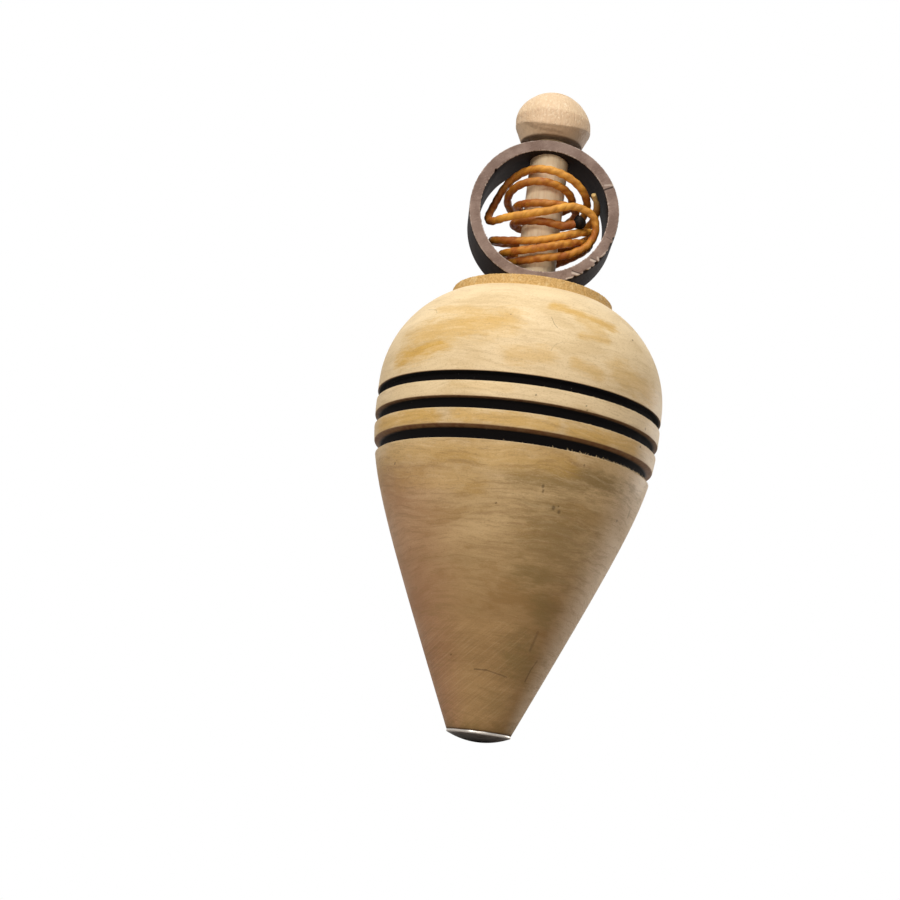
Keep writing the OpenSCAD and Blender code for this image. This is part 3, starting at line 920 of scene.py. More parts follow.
def body_marks(piece):
    """Marks at the photograph's places, in mm across and up, seen along Y: stains and
    scratches as start, end, width and share, shades as centre, size and share, and dots as
    place, width and height."""
    at = {name: on_piece(piece, name) / MM for name in (
        "stain_left", "stain_upper", "stain_right", "shoulder_crack", "shoulder_speck",
        "dent_mark", "nose_scratch", "side_scratch")}

    def by(name, right=0, up=0):
        return at[name].x + right, at[name].z + up

    stains = [
        (by("stain_upper", -10.5, -2.2), by("stain_upper", 3.6, 0.5), 2.6, 0.62),
        (by("stain_upper", -4.0, -0.4), by("stain_upper", 2.8, 0.4), 1.5, 0.85),
        (by("stain_upper", -8.0, 2.8), by("stain_upper", -1.6, 2.0), 0.9, 0.45),
        (by("stain_left", -2.6, -1.0), by("stain_left", 2.9, 0.9), 1.9, 0.95),
        (by("stain_right", -4.5, 1.3), by("stain_right", 5.6, -0.5), 1.0, 0.85),
        (by("stain_right", 0.0, -0.6), by("stain_right", 4.2, -2.4), 1.1, 0.45),
        (by("stain_right", 0.4, -3.6), by("stain_right", 4.8, -3.4), 0.8, 0.55),
        ((-3.4, 61.4), (2.6, 61.9), 1.8, 0.45), ((7.6, 61.6), (11.6, 60.6), 1.2, 0.5),
        ((15.0, 62.6), (21.0, 60.6), 2.2, 0.5), ((-22.6, 50.6), (-15, 50.9), 1.8, 0.8),
        ((-11, 50.9), (5, 50.5), 1.5, 0.7), ((-20, 45.2), (8, 44.6), 2.2, 0.42),
        ((-12, 56.0), (-3, 55.8), 1.0, 0.22), ((8, 50.4), (19, 50.7), 1.5, 0.7),
        ((-18, 41.2), (-6, 40.2), 2.0, 0.25)]
    shades = [((13.5, 43.6), (9, 1.9), 0.85), ((6.5, 42.0), (9, 2.4), 0.75),
              ((5.6, 27.0), (5.2, 2.8), 0.8), ((7.4, 22.6), (3.4, 4.4), 0.8),
              ((4.6, 14.0), (4.6, 5.6), 0.8), ((2.2, 6.4), (3.6, 3.2), 0.4),
              ((7.5, 33.5), (8.5, 9.0), 0.62), ((-9, 28.5), (9, 1.2), 0.22),
              ((-8, 20.5), (7, 1.0), 0.2)]
    dots = [(by("shoulder_speck"), 0.26, 0.26), (by("dent_mark", -0.5, 0.1), 0.42, 0.36),
            (by("dent_mark", 0.5, -0.3), 0.45, 0.3), (by("dent_mark", 0.3, 0.6), 0.2, 0.2),
            ((-4.1, 68.8), 0.17, 0.18), ((1.5, 55.1), 0.22, 0.24),
            ((10.0, 54.9), 0.18, 0.2), ((10.2, 54.2), 0.2, 0.2),
            ((10.9, 45.4), 0.2, 0.3), ((-20.0, 43.5), 0.2, 0.32),
            ((20.5, 51.4), 0.2, 0.3), ((4.6, 40.9), 0.36, 0.3), ((4.7, 40.1), 0.3, 0.4),
            ((-2.6, 37.4), 0.22, 0.2), ((-6.5, 13.3), 0.24, 0.2),
            ((18.2, 38.8), 0.2, 0.3)]
    scratches = [
        (by("shoulder_crack", -0.65, 1.1), by("shoulder_crack", -0.1, -0.1), 0.11, 0.42),
        (by("shoulder_crack", -0.1, -0.1), by("shoulder_crack", 0.5, -0.75), 0.11, 0.42),
        ((3.1, 62.9), (3.6, 64.0), 0.10, 0.2), ((3.6, 64.0), (4.8, 64.8), 0.10, 0.2),
        ((4.8, 64.8), (7.3, 65.0), 0.10, 0.14), ((-17.9, 70.8), (-16.6, 70.3), 0.14, 0.25),
        ((-16.6, 70.3), (-16.3, 69.4), 0.14, 0.25),
        (by("nose_scratch", -2.6, 0.25), by("nose_scratch", -0.6, 0.30), 0.20, 0.65),
        (by("nose_scratch", -0.6, 0.30), by("nose_scratch", 2.8, -0.35), 0.18, 0.5),
        (by("side_scratch", -0.6, -1.8), by("side_scratch", 0.1, 0.2), 0.17, 0.5),
        (by("side_scratch", 0.1, 0.2), by("side_scratch", 1.0, 1.8), 0.17, 0.45),
        ((6.4, 15.6), (7.3, 18.6), 0.34, 0.35), ((20.5, 41.5), (20.3, 40.2), 0.16, 0.4)]
    return stains, shades, dots, scratches


def mark_body(piece, stains, shades):
    """Writes how near each vertex lies to the stains and shades, seen along Y, as 1 less the
    distance over the width, with the share of those that are nearest."""
    place = vertex_places(piece)
    flat = place[:, (0, 2)] / MM
    front = np.where(place[:, 1] < 0, 1, 0)
    near = {"stain": [], "shade": []}
    for start, end, width, share in stains:
        start, line = np.array(start), np.array(end) - np.array(start)
        along = np.clip((flat - start) @ line / (line @ line), 0, 1)[:, None]
        near["stain"].append((1 - np.linalg.norm(flat - start - along * line, axis=1) / width,
                              share))
    for centre, size, share in shades:
        away = (flat - np.array(centre)) / np.array(size)
        near["shade"].append((1 - np.linalg.norm(away, axis=1), share))
    for name, found in near.items():
        closeness = np.array([one for one, _ in found])
        weight = np.exp(6 * closeness)
        share = (weight * np.array([[s] for _, s in found])).sum(0) / weight.sum(0)
        for label, values in ((name, np.maximum(closeness.max(0), -1.5)),
                              (name + "_share", share * front)):
            layer = piece.data.attributes.new(label, "FLOAT", "POINT")
            layer.data.foreach_set("value", values.astype(np.float32))


# Heights between which the shoulder's wood passes into the cone's
SHOULDER_FOOT, CONE_TOP = 0.058, 0.044


def body_material(sizes, dots, scratches):
    """Wood of the body: cream shoulder, browner cone, ochre stains at the photograph's places,
    lathe lines, growth arcs, specks, cracks, char in the grooves and rough end grain."""
    def surface(n):
        here = n.position()
        x, y, z = n.parts(here)[0:3]
        across = n.sum("DIVIDE", x, n.plus(n.vector("LENGTH", n.joined(x, y, 0.0)), 0.0001))
        wood = n.group("Turned wood", {"Position": here})

        def fade(above, below, end=CONE_TOP):
            """One number on the shoulder, and another that it reaches at the height end."""
            return n.between(z, SHOULDER_FOOT, end, above, below)

        # The cone is browner than the shoulder; towards the tip it darkens further, partly the
        # wood's own tone and partly painted shade
        cone = n.between(z, 0.0555, 0.0445)
        tone = n.mix(cone, sizes.wood, sizes.cone_wood)
        tone = n.tint(tone, sizes.nose_wood_and_shade, n.between(z, 0.041, 0.016))
        # Cloudy wood: each tone is mixed with a darker and a paler one of its own hue
        depth = n.plus(0.30, n.times(cone, 0.30))
        tone = n.tint(tone, n.mix(1.0, tone, (0.70, 0.62, 0.45), "MULTIPLY"),
                      n.between(wood["Clouds"], 0.50, 0.61), depth)
        tone = n.tint(tone, n.mix(1.0, tone, (1.22, 1.26, 1.32), "MULTIPLY"),
                      n.between(wood["Clouds"], 0.49, 0.39), depth)
        # Painted light and reflection on the cone's left side: higher up it is lightened towards
        # the shoulder's cream, and lower down a pinkish brown stands in for warm light thrown
        # back onto it
        left = n.times(n.between(across, -0.25, -0.95), cone)
        tone = n.tint(tone, sizes.wood, left, n.between(z, 0.041, 0.048, 0.0, 0.65))
        tone = n.tint(tone, (0.45, 0.235, 0.14), left, n.between(z, 0.048, 0.037, 0.0, 0.6))
        # Painted light: a pale rim down the cone's right edge
        right = n.times(n.between(across, 0.62, 0.93), cone)
        tone = n.tint(tone, (0.74, 0.60, 0.42), right, 0.5)

        flat = n.vector("MULTIPLY", here, (1.0, 0.0, 1.0))
        front = n.between(y, 0.002, -0.003)
        torn = n.noise(here, 240.0, 5, 0.6, squash=(1.0, 1.0, 3.2))
        ragged = n.noise(here, 900.0, 3, 0.6)
        fine = n.noise(here, 620.0, 4, 0.65, squash=(1.0, 1.0, 5.0))
        rag = n.plus(n.swing(torn, 2.0), n.swing(fine, 1.5))
        # Olive patches on the cone's right, centre and nose: partly the wood's own blotches,
        # mostly painted shade
        shade = n.between(n.less(n.attribute("shade"), rag), -0.25, 0.95)
        tone = n.tint(tone, sizes.olive_blotch_and_shade, shade, n.attribute("shade_share"))
        stain = n.between(n.less(n.attribute("stain"), rag), -0.45, 0.9)
        tone = n.tint(tone, sizes.stain, stain, n.attribute("stain_share"))
        # The same stains, scattered, on the sides that the photograph doesn't show
        behind = n.between(y, -0.004, 0.004)
        old = n.noise(here, 75.0, 5, 0.62, squash=(1.0, 1.0, 2.6))
        tone = n.tint(tone, sizes.stain, n.between(old, 0.55, 0.70), behind, 0.6)
        arcs = n.times(wood["Arcs"], fade(0.10, 0.34))
        tone = n.tint(tone, sizes.line, arcs, n.between(wood["Grain"], 0.3, 0.6, 0.4, 1.0))
        tone = n.tint(tone, (0.30, 0.185, 0.075), n.between(wood["Lathe"], 0.53, 0.61),
                      fade(0.14, 0.34))
        tone = n.tint(tone, (0.90, 0.72, 0.46), n.between(wood["Lathe"], 0.48, 0.34),
                      fade(0.22, 0.03, end=0.020))
        gritty = n.plus(n.times(cone, 0.10), 0.34)
        tone = n.tint(tone, (0.34, 0.21, 0.09), n.between(wood["Grain"], 0.52, 0.70), gritty)
        tone = n.tint(tone, (0.95, 0.78, 0.52), n.between(wood["Grain"], 0.46, 0.30),
                      n.between(z, 0.050, 0.020, 0.14, 0.04))
        tone = n.tint(tone, (0.26, 0.15, 0.07), wood["Pores"], 0.24)
        freckles = n.group("Specks", {"Position": here, "Scale": 900.0, "Share": 0.16})["Mask"]
        tone = n.tint(tone, (0.20, 0.11, 0.05), freckles, n.plus(0.10, n.times(left, 0.4)))
        spots = n.group("Specks", {"Position": here, "Scale": 330.0, "Share": 0.035})["Mask"]
        tone = n.tint(tone, (0.16, 0.09, 0.04), spots, 0.45)
        spotted = [((x, z), (x + 0.05, z + high - 0.15), wide, 0.6)
                   for (x, z), wide, high in dots]
        dark = n.sum("MAXIMUM", streaks(n, flat, ragged, 0.5, spotted),
                     streaks(n, flat, ragged, 0.9, scratches))
        tone = n.tint(tone, (0.085, 0.05, 0.022), dark, front)
        # Sanding marks that climb to the right near the nose
        slant = n.vector("DOT_PRODUCT", here, (-0.71, 0.0, 0.70))
        along = n.vector("DOT_PRODUCT", here, (0.70, 0.0, 0.71))
        marks = n.noise(n.joined(slant, n.times(along, 0.05), 0.0), 3300.0, 3, 0.7)
        sanded = n.times(n.between(z, 0.0215, 0.0165), n.between(across, 0.75, 0.35))
        tone = n.tint(tone, (0.72, 0.52, 0.30), sanded, n.between(marks, 0.50, 0.68), 0.14)
        tone = n.tint(tone, (0.25, 0.15, 0.07), sanded, n.between(marks, 0.50, 0.34), 0.30)
        # A darker band just above the cap, and painted shade in the gap where the wood meets the
        # cap
        cap_band_level = n.plus(z, n.swing(n.noise(here, 420.0, 4, 0.6), 0.007))
        tone = n.tint(tone, (0.22, 0.14, 0.045), n.between(cap_band_level, 0.0040, 0.0018, 0.0, 0.55))
        tone = n.tint(tone, (0.06, 0.035, 0.016), n.between(z, 0.0020, 0.0017, 0.0, 0.7))
        # Collar's end grain
        collar = n.attribute("collar")
        crumbs = n.noise(here, 3300.0, 2, 0.6)
        coarse = n.noise(here, 900.0, 3, 0.6)
        rough = n.mix(n.between(crumbs, 0.38, 0.62, 0.35, 1.0), (0.42, 0.235, 0.065),
                      sizes.collar)
        rough = n.tint(rough, (0.80, 0.62, 0.33), n.between(coarse, 0.50, 0.72, 0.0, 0.5))
        tone = n.tint(tone, rough, collar)
        # Grooves
        burnt, toasted = n.attribute("burnt"), n.attribute("toasted")
        tone = n.tint(tone, sizes.toast, toasted, n.between(coarse, 0.3, 0.7, 0.8, 1.0))
        ash = n.times(n.between(n.noise(here, 1700.0, 2, 0.5), 0.73, 0.77), 0.30)
        soot = n.mix(ash, sizes.char, (0.40, 0.38, 0.34))
        tone = n.tint(tone, soot, n.between(burnt, 0.1, 0.7))
        fuzz = n.times(n.attribute("lip"), n.between(burnt, 0.3, 0.1))
        tone = n.tint(tone, (0.74, 0.57, 0.34), fuzz, 0.5)
        height = n.plus(n.times(wood["Height"], fade(0.6, 1.0)),
                        n.times(collar, n.times(crumbs, 2.2)))
        height = n.plus(height, n.times(sanded, marks))
        matt = n.plus(n.between(wood["Clouds"], 0.3, 0.7, 0.48, 0.62), n.times(collar, 0.2))
        return {"Base Color": tone, "Roughness": n.sum("MAXIMUM", matt, burnt),
                "Normal": bump(n, height, 0.00006), "Specular IOR Level": 0.18}

    return new_material("Turned wood body", surface)


# ---------------------------------------------------------------- steel tip

CAP_COLUMNS = 192
RIM_WAVES = 0.025 * MM


def make_cap(sizes):
    """Domed cap: outside a ball's cap of radius (w^2 + h^2) / 2h with a straight rim, inside
    the same ball less the sheet."""
    half, high = CAP_HIGH.x, CAP_HIGH.z - sizes.rim_h
    ball = (half * half + high * high) / (2 * high)
    turn = math.asin(half / ball)
    outer = arc((0, ball), ball, -math.pi / 2, -math.pi / 2 + turn, 40)[1:]
    inner_half = half - sizes.sheet
    inner = ball - sizes.sheet
    inner_turn = math.asin(inner_half / inner)
    inside = arc((0, ball), inner, -math.pi / 2 + inner_turn, -math.pi / 2, 24)
    rim = np.array([(half - 0.02 * MM, high + 0.01 * MM), (half, high + 0.06 * MM),
                    (half, CAP_HIGH.z - 0.06 * MM), (half - 0.04 * MM, CAP_HIGH.z),
                    (inner_half, CAP_HIGH.z)])
    rows = np.vstack((outer, rim, inside))
    n = CAP_COLUMNS
    r, z = carried_round(rows, n)
    near_rim = smooth_step((r - 4.6 * MM) / (0.9 * MM)) * (rows[:, 1:2] > 0.5 * MM)
    r = r + near_rim * RIM_WAVES * round_line(41, n, 2, 14)
    piece = turned("domed_cap", r, z, 0.0, ball - inner)
    piece.data.set_sharp_from_angle(angle=math.radians(40))

    def surface(n):
        here = n.position()
        x, y = n.parts(here)[0:2]
        reach = n.vector("LENGTH", n.joined(x, y, 0.0))
        rings = n.noise(n.joined(reach, 0.0, 0.0), 5200.0, 3, 0.7)
        spots = n.noise(here, 420.0, 4, 0.6)
        # Painted reflection: dark brown patches with less metal stand in for the dark
        # surroundings seen in the dome
        painted_reflection = n.times(n.between(spots, 0.48, 0.70), n.between(reach, 0.0015, 0.0052))
        tone = n.mix(n.times(painted_reflection, 0.75), sizes.steel, (0.055, 0.036, 0.026))
        tone = n.tint(tone, (0.34, 0.30, 0.27), n.between(rings, 0.5, 0.8, 0.0, 0.25))
        # Painted highlight: a pale line round the cap's rim
        rim = n.between(reach, 0.00515, 0.00540)
        tone = n.tint(tone, (0.72, 0.67, 0.61), rim, 0.6)
        rough = n.plus(n.between(rings, 0.3, 0.7, 0.30, 0.42), n.times(painted_reflection, 0.2))
        return {"Base Color": tone, "Metallic": n.between(painted_reflection, 0.2, 0.9, 1.0, 0.35),
                "Roughness": rough, "Normal": bump(n, rings, 0.00001)}

    material = new_material("Bright steel", surface)
    coat(piece, material)
    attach(piece, "spinner")
    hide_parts("tip_cap")
    coat(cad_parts["tip_nail"], material)


# ---------------------------------------------------------------- knob and spindle

KNOB_COLUMNS = 240
FLAT_DEPTH = 0.14 * MM
# Flats of the dome: how many lie round it, their share and their turn
FLATS = ((3, 0.5, 0.4), (5, 0.45, 2.0), (7, 0.4, 1.1))


def make_knob(sizes):
    """Turned knob: bore, flat foot, lower slope, straight band and a dome on the ball of
    radius (w^2 + h^2) / 2h, with slow hand-cut flats on the dome and softened corners."""
    half, low, high = KNOB_HIGH.x, KNOB_LOW.z, KNOB_HIGH.z
    dome_h = high - low - sizes.slope_h - sizes.band_h
    ball = (half * half + dome_h * dome_h) / (2 * dome_h)
    start = math.asin(max(-1.0, min(1.0, (ball - dome_h) / ball)))
    bore, deep = sizes.bore_d / 2, low + sizes.bore_depth
    band = low + sizes.slope_h
    soft = 0.18 * MM
    rows = np.vstack((
        [(bore, deep)], stretch((bore, deep - 0.1 * MM), (bore, low), 4),
        stretch((bore, low), (sizes.base_d / 2 - 0.15 * MM, low), 4),
        [(sizes.base_d / 2 - 0.04 * MM, low + 0.03 * MM)],
        stretch((sizes.base_d / 2 + 0.08 * MM, low + 0.10 * MM),
                (half - 0.12 * MM, band - 0.10 * MM), 9),
        [(half - 0.05 * MM, band - 0.02 * MM), (half - 0.01 * MM, band + soft)],
        stretch((half, band + 2 * soft), (half, band + sizes.band_h - soft), 10),
        arc((0, high - ball), ball, start, math.pi / 2, 46)))
    n = KNOB_COLUMNS
    r, z = carried_round(rows, n)
    a = TURN * np.arange(n) / n
    dome = smooth_step((rows[:, 1:2] - band - 0.6 * sizes.band_h) / (2.5 * MM))
    flats = sum(s * np.cos(k * a + p + 0.5 * dome) for k, s, p in FLATS)
    outside = (rows[:, 0:1] > bore + 0.5 * MM).astype(float)
    r = r + outside * (0.025 * MM * round_line(51, n, 2, 6)
                       + dome * (r / half) * FLAT_DEPTH * (flats - 0.9))
    r = r + outside * 0.012 * MM * round_line(52, n, 30, 90)
    # The hand-cut edge under the band is lower at the front and back than at the sides
    rise = np.interp(rows[:, 1], [low + 0.1 * MM, band, band + sizes.band_h], [0, 1, 0])
    z = z + outside * rise[:, None] * sizes.sway * np.cos(2 * a)
    piece = turned("turned_knob", r, z, deep, high)
    place = vertex_places(piece)
    out = np.hypot(place[:, 0], place[:, 1]) > bore + 0.3 * MM
    place[:, 0] -= sizes.lean * smooth_step((place[:, 2] - band) / (5 * MM)) * np.maximum(
        out, place[:, 2] > deep + 0.5 * MM)
    piece.data.vertices.foreach_set("co", place.ravel())
    piece.data.set_sharp_from_angle(angle=math.radians(45))

    def surface(n):
        here = n.position()
        z = n.parts(here)[2]
        wood = n.group("Turned wood", {"Position": here, "Shift": (0.03, 0.02, 0.013)})
        tone = n.mix(n.times(n.between(wood["Clouds"], 0.4, 0.7), 0.45), sizes.wood,
                     (0.70, 0.51, 0.32))
        upright = n.noise(here, 1500.0, 3, 0.6, squash=(1.0, 1.0, 0.16))
        tone = n.tint(tone, (0.58, 0.40, 0.23), n.between(upright, 0.52, 0.75, 0.0, 0.22))
        tone = n.tint(tone, (0.90, 0.74, 0.53), n.between(upright, 0.45, 0.28, 0.0, 0.3))
        x, y, across = n.parts(here)[0], n.parts(here)[1], n.vector("LENGTH", n.vector(
            "MULTIPLY", here, (1.0, 1.0, 0.0)))
        # cos 2a of the angle a round Z is (x^2 - y^2) / (x^2 + y^2)
        turn = n.sum("DIVIDE", n.less(n.times(x, x), n.times(y, y)), n.times(across, across))
        edge = n.less(z, n.times(turn, sizes.sway))
        # Painted shade: the band and everything below it are a little darker and pinker than the
        # dome, marking the crease
        girth = n.between(z, band + 0.85 * sizes.band_h, band + 1.1 * sizes.band_h, 0.30, 0.0)
        tone = n.tint(tone, (0.58, 0.37, 0.225), girth)
        pits = n.noise(here, 2600.0, 3, 0.7, squash=(1.0, 1.0, 0.6))
        tone = n.tint(tone, (0.66, 0.42, 0.27), n.between(pits, 0.54, 0.68, 0.0, 0.5))
        tone = n.tint(tone, (0.97, 0.82, 0.60), n.between(pits, 0.46, 0.34, 0.0, 0.4))
        slope = n.between(edge, band + 0.12 * MM, band - 0.08 * MM)
        slope_streaks_and_shade = streaks(n, n.vector("MULTIPLY", here, (1.0, 0.0, 1.0)), upright, 0.7,
                         [((-5.4, 110.9), (-3.4, 109.6), 0.5, 0.5),
                          ((-2.6, 109.3), (1.5, 109.0), 0.4, 0.5)])
        # Painted shade: the lower slope darkens a little on the left and more towards the right;
        # the listed streaks are the wood's own
        shaded = n.between(x, -0.001, 0.005, 0.12, 0.55)
        slope_streaks_and_shade = n.sum("MAXIMUM", slope_streaks_and_shade, shaded)
        lower = n.mix(n.between(wood["Clouds"], 0.45, 0.65), sizes.slope, (0.45, 0.30, 0.18))
        tone = n.tint(tone, n.tint(lower, (0.25, 0.15, 0.085), slope_streaks_and_shade), slope)
        # Painted shade under the knob's foot
        under = n.between(z, low + 0.35 * MM, low + 0.05 * MM)
        tone = n.tint(tone, (0.16, 0.09, 0.05), under, 0.7)
        return {"Base Color": tone, "Roughness": n.between(upright, 0.3, 0.7, 0.48, 0.62),
                "Normal": bump(n, n.plus(n.times(pits, 1.6), n.times(upright, 0.6)),
                               0.00010),
                "Specular IOR Level": 0.35}

    coat(piece, new_material("Turned knob wood", surface))
    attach(piece, "spinner")
    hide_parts("knob")


def make_spindle(sizes):
    """The dowel keeps its CAD shape and gets straight-grained wood, in colours paler than its
    own as painted light.
    """
    def surface(n):
        here = n.position()
        long_grain = n.noise(here, 1500.0, 4, 0.62, squash=(1.0, 1.0, 0.05))
        fine = n.noise(here, 4200.0, 2, 0.5, squash=(1.0, 1.0, 0.12))
        tone = n.mix(n.between(long_grain, 0.40, 0.72), sizes.dowel, (0.84, 0.635, 0.40))
        tone = n.tint(tone, (0.64, 0.44, 0.26), n.between(fine, 0.60, 0.80, 0.0, 0.35))
        tone = n.tint(tone, (0.98, 0.83, 0.60), n.between(fine, 0.42, 0.25, 0.0, 0.3))
        return {"Base Color": tone, "Roughness": n.between(fine, 0.3, 0.7, 0.5, 0.66),
                "Normal": bump(n, n.plus(long_grain, fine), 0.00004),
                "Specular IOR Level": 0.35}

    coat(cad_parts["spindle"], new_material("Dowel wood", surface))


# ---------------------------------------------------------------- ring handle

# Cracks behind the flakes of the ring's front and their pale edges, in mm from its centre:
# start, end, width and share. The pale edges are partly burr and partly painted highlight on
# the flakes' lips, and the cracks partly painted shadow under them.
FLAKE_CRACKS = [((9.2, -7.7), (10.7, -8.2), 0.16, 0.7), ((6.2, -10.5), (8.4, -11.0), 0.17, 0.75),
                ((5.5, -12.5), (6.6, -12.0), 0.15, 0.6),
                ((11.6, -3.4), (12.6, -3.9), 0.12, 0.5)]
FLAKE_EDGES = [((9.3, -8.0), (10.9, -8.5), 0.36, 1.0), ((10.9, -8.5), (10.4, -7.4), 0.28, 0.8),
               ((6.3, -10.85), (8.5, -11.3), 0.38, 1.0), ((8.5, -11.3), (8.9, -10.4), 0.28, 0.8),
               ((5.4, -12.1), (6.8, -11.6), 0.32, 0.9), ((8.6, -10.2), (9.9, -9.2), 0.30, 0.8),
               ((10.2, 6.25), (11.8, 6.5), 0.26, 0.7), ((10.9, -7.4), (12.0, -5.9), 0.28, 0.7)]


SAW_WANDER, SAW_MARKS = 0.03 * MM, 0.004 * MM
HOLE_COLUMNS = 96
PAST_RING = 10 * MM


def ring_angle(place):
    """Angle round the ring, from +X towards +Z."""
    return math.atan2(place.z - RING_CENTRE.z, place.x)


def make_ring(sizes):
    """Slice of pipe. Its section is a rounded rectangle in reach R from the ring's axis and
    width y, carried round as (R cos a, y, R sin a) from the ring's centre; the front face's
    edges get burrs, chips and a flaked stretch, and two holes let the spindle through."""
    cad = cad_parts["ring_handle"]
    crack, flaked = (ring_angle(on_piece(cad, name)) for name in ("ring_crack", "flaked_edge"))
    outer, half = RING_HIGH.x, RING_HIGH.y
    inner = outer - sizes.wall
    e = sizes.edge
    corner = [(outer - e, half - e, 0), (inner + e, half - e, 90), (inner + e, -half + e, 180),
              (outer - e, -half + e, 270)]
    rows = [arc((r, y), e, math.radians(d), math.radians(d + 90), 4) for r, y, d in corner]
    sides = [stretch((outer - e, half), (inner + e, half), 9)[1:],
             stretch((inner, half - e), (inner, -half + e), 14)[1:],
             stretch((inner + e, -half), (outer - e, -half), 9)[1:],
             stretch((outer, -half + e), (outer, half - e), 14)[1:]]
    rows = np.vstack([p for pair in zip(rows, sides) for p in pair])
    n = sizes.around
    reach, y = carried_round(rows, n)
    front = smooth_step((-rows[:, 1:2] - (half - 0.5 * MM)) / (0.4 * MM))
    back = smooth_step((rows[:, 1:2] - (half - 0.5 * MM)) / (0.4 * MM))
    inside = smooth_step((inner + 0.35 * MM - rows[:, 0:1]) / (0.3 * MM))
    outside = smooth_step((rows[:, 0:1] - outer + 0.35 * MM) / (0.3 * MM))
    # Each saw cut wanders slowly and bears fine marks
    for seed, face, way in ((61, front, -1), (63, back, 1)):
        y += way * face * (SAW_WANDER * round_line(seed, n, 2, 9)
                           + SAW_MARKS * round_line(seed + 1, n, 20, 90))
    burr = np.clip(round_line(65, n, 40, 260), 0, 2)
    reach -= front * inside * 0.045 * MM * burr
    y -= front * inside * 0.05 * MM * burr
    stretch_w = near_angle(n, flaked, math.radians(42))
    torn = np.clip(round_line(66, n, 14, 90) + 0.5, 0, 2.4) * stretch_w
    reach -= front * outside * 0.26 * MM * torn
    y -= front * outside * 0.10 * MM * np.clip(round_line(67, n, 30, 200), 0, 2) * stretch_w
    reach -= front * outside * 0.03 * MM * np.clip(round_line(68, n, 30, 220), 0, 2)
    chip = near_angle(n, math.radians(146), math.radians(2.6))
    reach += front * inside * 0.30 * MM * chip
    a = TURN * np.arange(n) / n
    points = np.stack((reach * np.cos(a), y, reach * np.sin(a)), -1).reshape(-1, 3)
    points += np.array(RING_CENTRE)
    piece = build_mesh("sawn_ring", points, [grid_faces(len(rows), n, close_rows=True)])
    low, high = RING_LOW.z - PAST_RING, RING_HIGH.z + PAST_RING
    ends = np.repeat([[low], [high]], HOLE_COLUMNS, 1)
    cutter = turned("spindle_holes", np.full(ends.shape, sizes.hole_d / 2), ends, low, high)
    cut = piece.modifiers.new("spindle holes", "BOOLEAN")
    cut.operation, cut.solver, cut.object = "DIFFERENCE", "EXACT", cutter
    finished = piece.evaluated_get(bpy.context.evaluated_depsgraph_get())
    mesh = bpy.data.meshes.new_from_object(finished)
    piece.modifiers.clear()
    piece.data = mesh
    bpy.data.objects.remove(cutter)
    mesh.set_sharp_from_angle(angle=math.radians(50))

    def surface(n):
        here = n.vector("SUBTRACT", n.position(), tuple(RING_CENTRE))
        x, y, z = n.parts(here)[0:3]
        reach = n.vector("LENGTH", n.joined(x, 0.0, z))
        away = n.sum("ABSOLUTE", y)
        face = n.between(away, half - 0.22 * MM, half - 0.06 * MM)
        # Saw marks run up to the right, and finer ones cross them
        way = n.joined(n.plus(n.times(x, 0.17), n.times(z, 0.12)), y,
                       n.less(n.times(z, 0.82), n.times(x, 0.57)))
        saw = n.times(n.noise(way, 4200.0, 4, 0.72), 0.55)
        saw = n.plus(saw, n.times(n.noise(here, 4600.0, 3, 0.65), 0.45))
        blots = n.noise(here, 260.0, 4, 0.6)
        sawn = n.mix(n.between(blots, 0.35, 0.68), sizes.face, (0.310, 0.225, 0.185))
        sawn = n.tint(sawn, (0.43, 0.33, 0.28), n.between(saw, 0.52, 0.68, 0.0, 0.45))
        sawn = n.tint(sawn, (0.125, 0.080, 0.063), n.between(saw, 0.48, 0.34, 0.0, 0.5))
        # Painted shade: the pipe's walls are made nearly black
        skin = n.mix(n.between(blots, 0.4, 0.7), sizes.skin, (0.028, 0.019, 0.016))
        tone = n.mix(face, skin, sawn)
        frayed = n.noise(here, 1500.0, 4, 0.7)
        brink = n.plus(n.between(reach, inner + 0.24 * MM, inner + 0.02 * MM),
                       n.between(reach, outer - 0.24 * MM, outer - 0.02 * MM))
        brink = n.times(n.times(brink, n.between(away, half - 0.35 * MM, half - 0.05 * MM)),
                        n.between(frayed, 0.42, 0.62))
        tone = n.tint(tone, sizes.burr, brink, 0.8)
        arm = Vector((math.cos(crack), 0, math.sin(crack))) / MM
        flat = n.vector("MULTIPLY", here, (1.0, 0.0, 1.0))
        front = n.times(n.between(y, 0.0, -0.001), face)
        across = (arm * (inner - 0.1 * MM), arm * (outer - 0.3 * MM), 0.26, 0.9)
        # Dark cracks, partly painted shadow under the flakes' lips, and pale edges, partly burr
        # and partly painted highlight
        split = n.times(streaks(n, flat, frayed, 0.9, [across, *FLAKE_CRACKS]), front)
        pale = n.times(streaks(n, flat, frayed, 1.0, FLAKE_EDGES), front)
        tone = n.tint(tone, sizes.burr, pale, 0.8)
        tone = n.tint(tone, (0.030, 0.019, 0.016), split)
        height = n.plus(n.times(saw, face), n.times(frayed, 0.25))
        return {"Base Color": tone, "Roughness": 0.62,
                "Normal": bump(n, height, 0.00008), "Specular IOR Level": 0.03}

    coat(piece, new_material("Grey-brown pipe", surface))
    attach(piece, "handle")
    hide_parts("ring_handle")


# ---------------------------------------------------------------- image points, measured

HIT_SLACK = 0.0001
SAME_PLACE = 0.0003
COLLAR_BAND = 2.1 * MM
COLLAR_OUT = 13.5 * MM


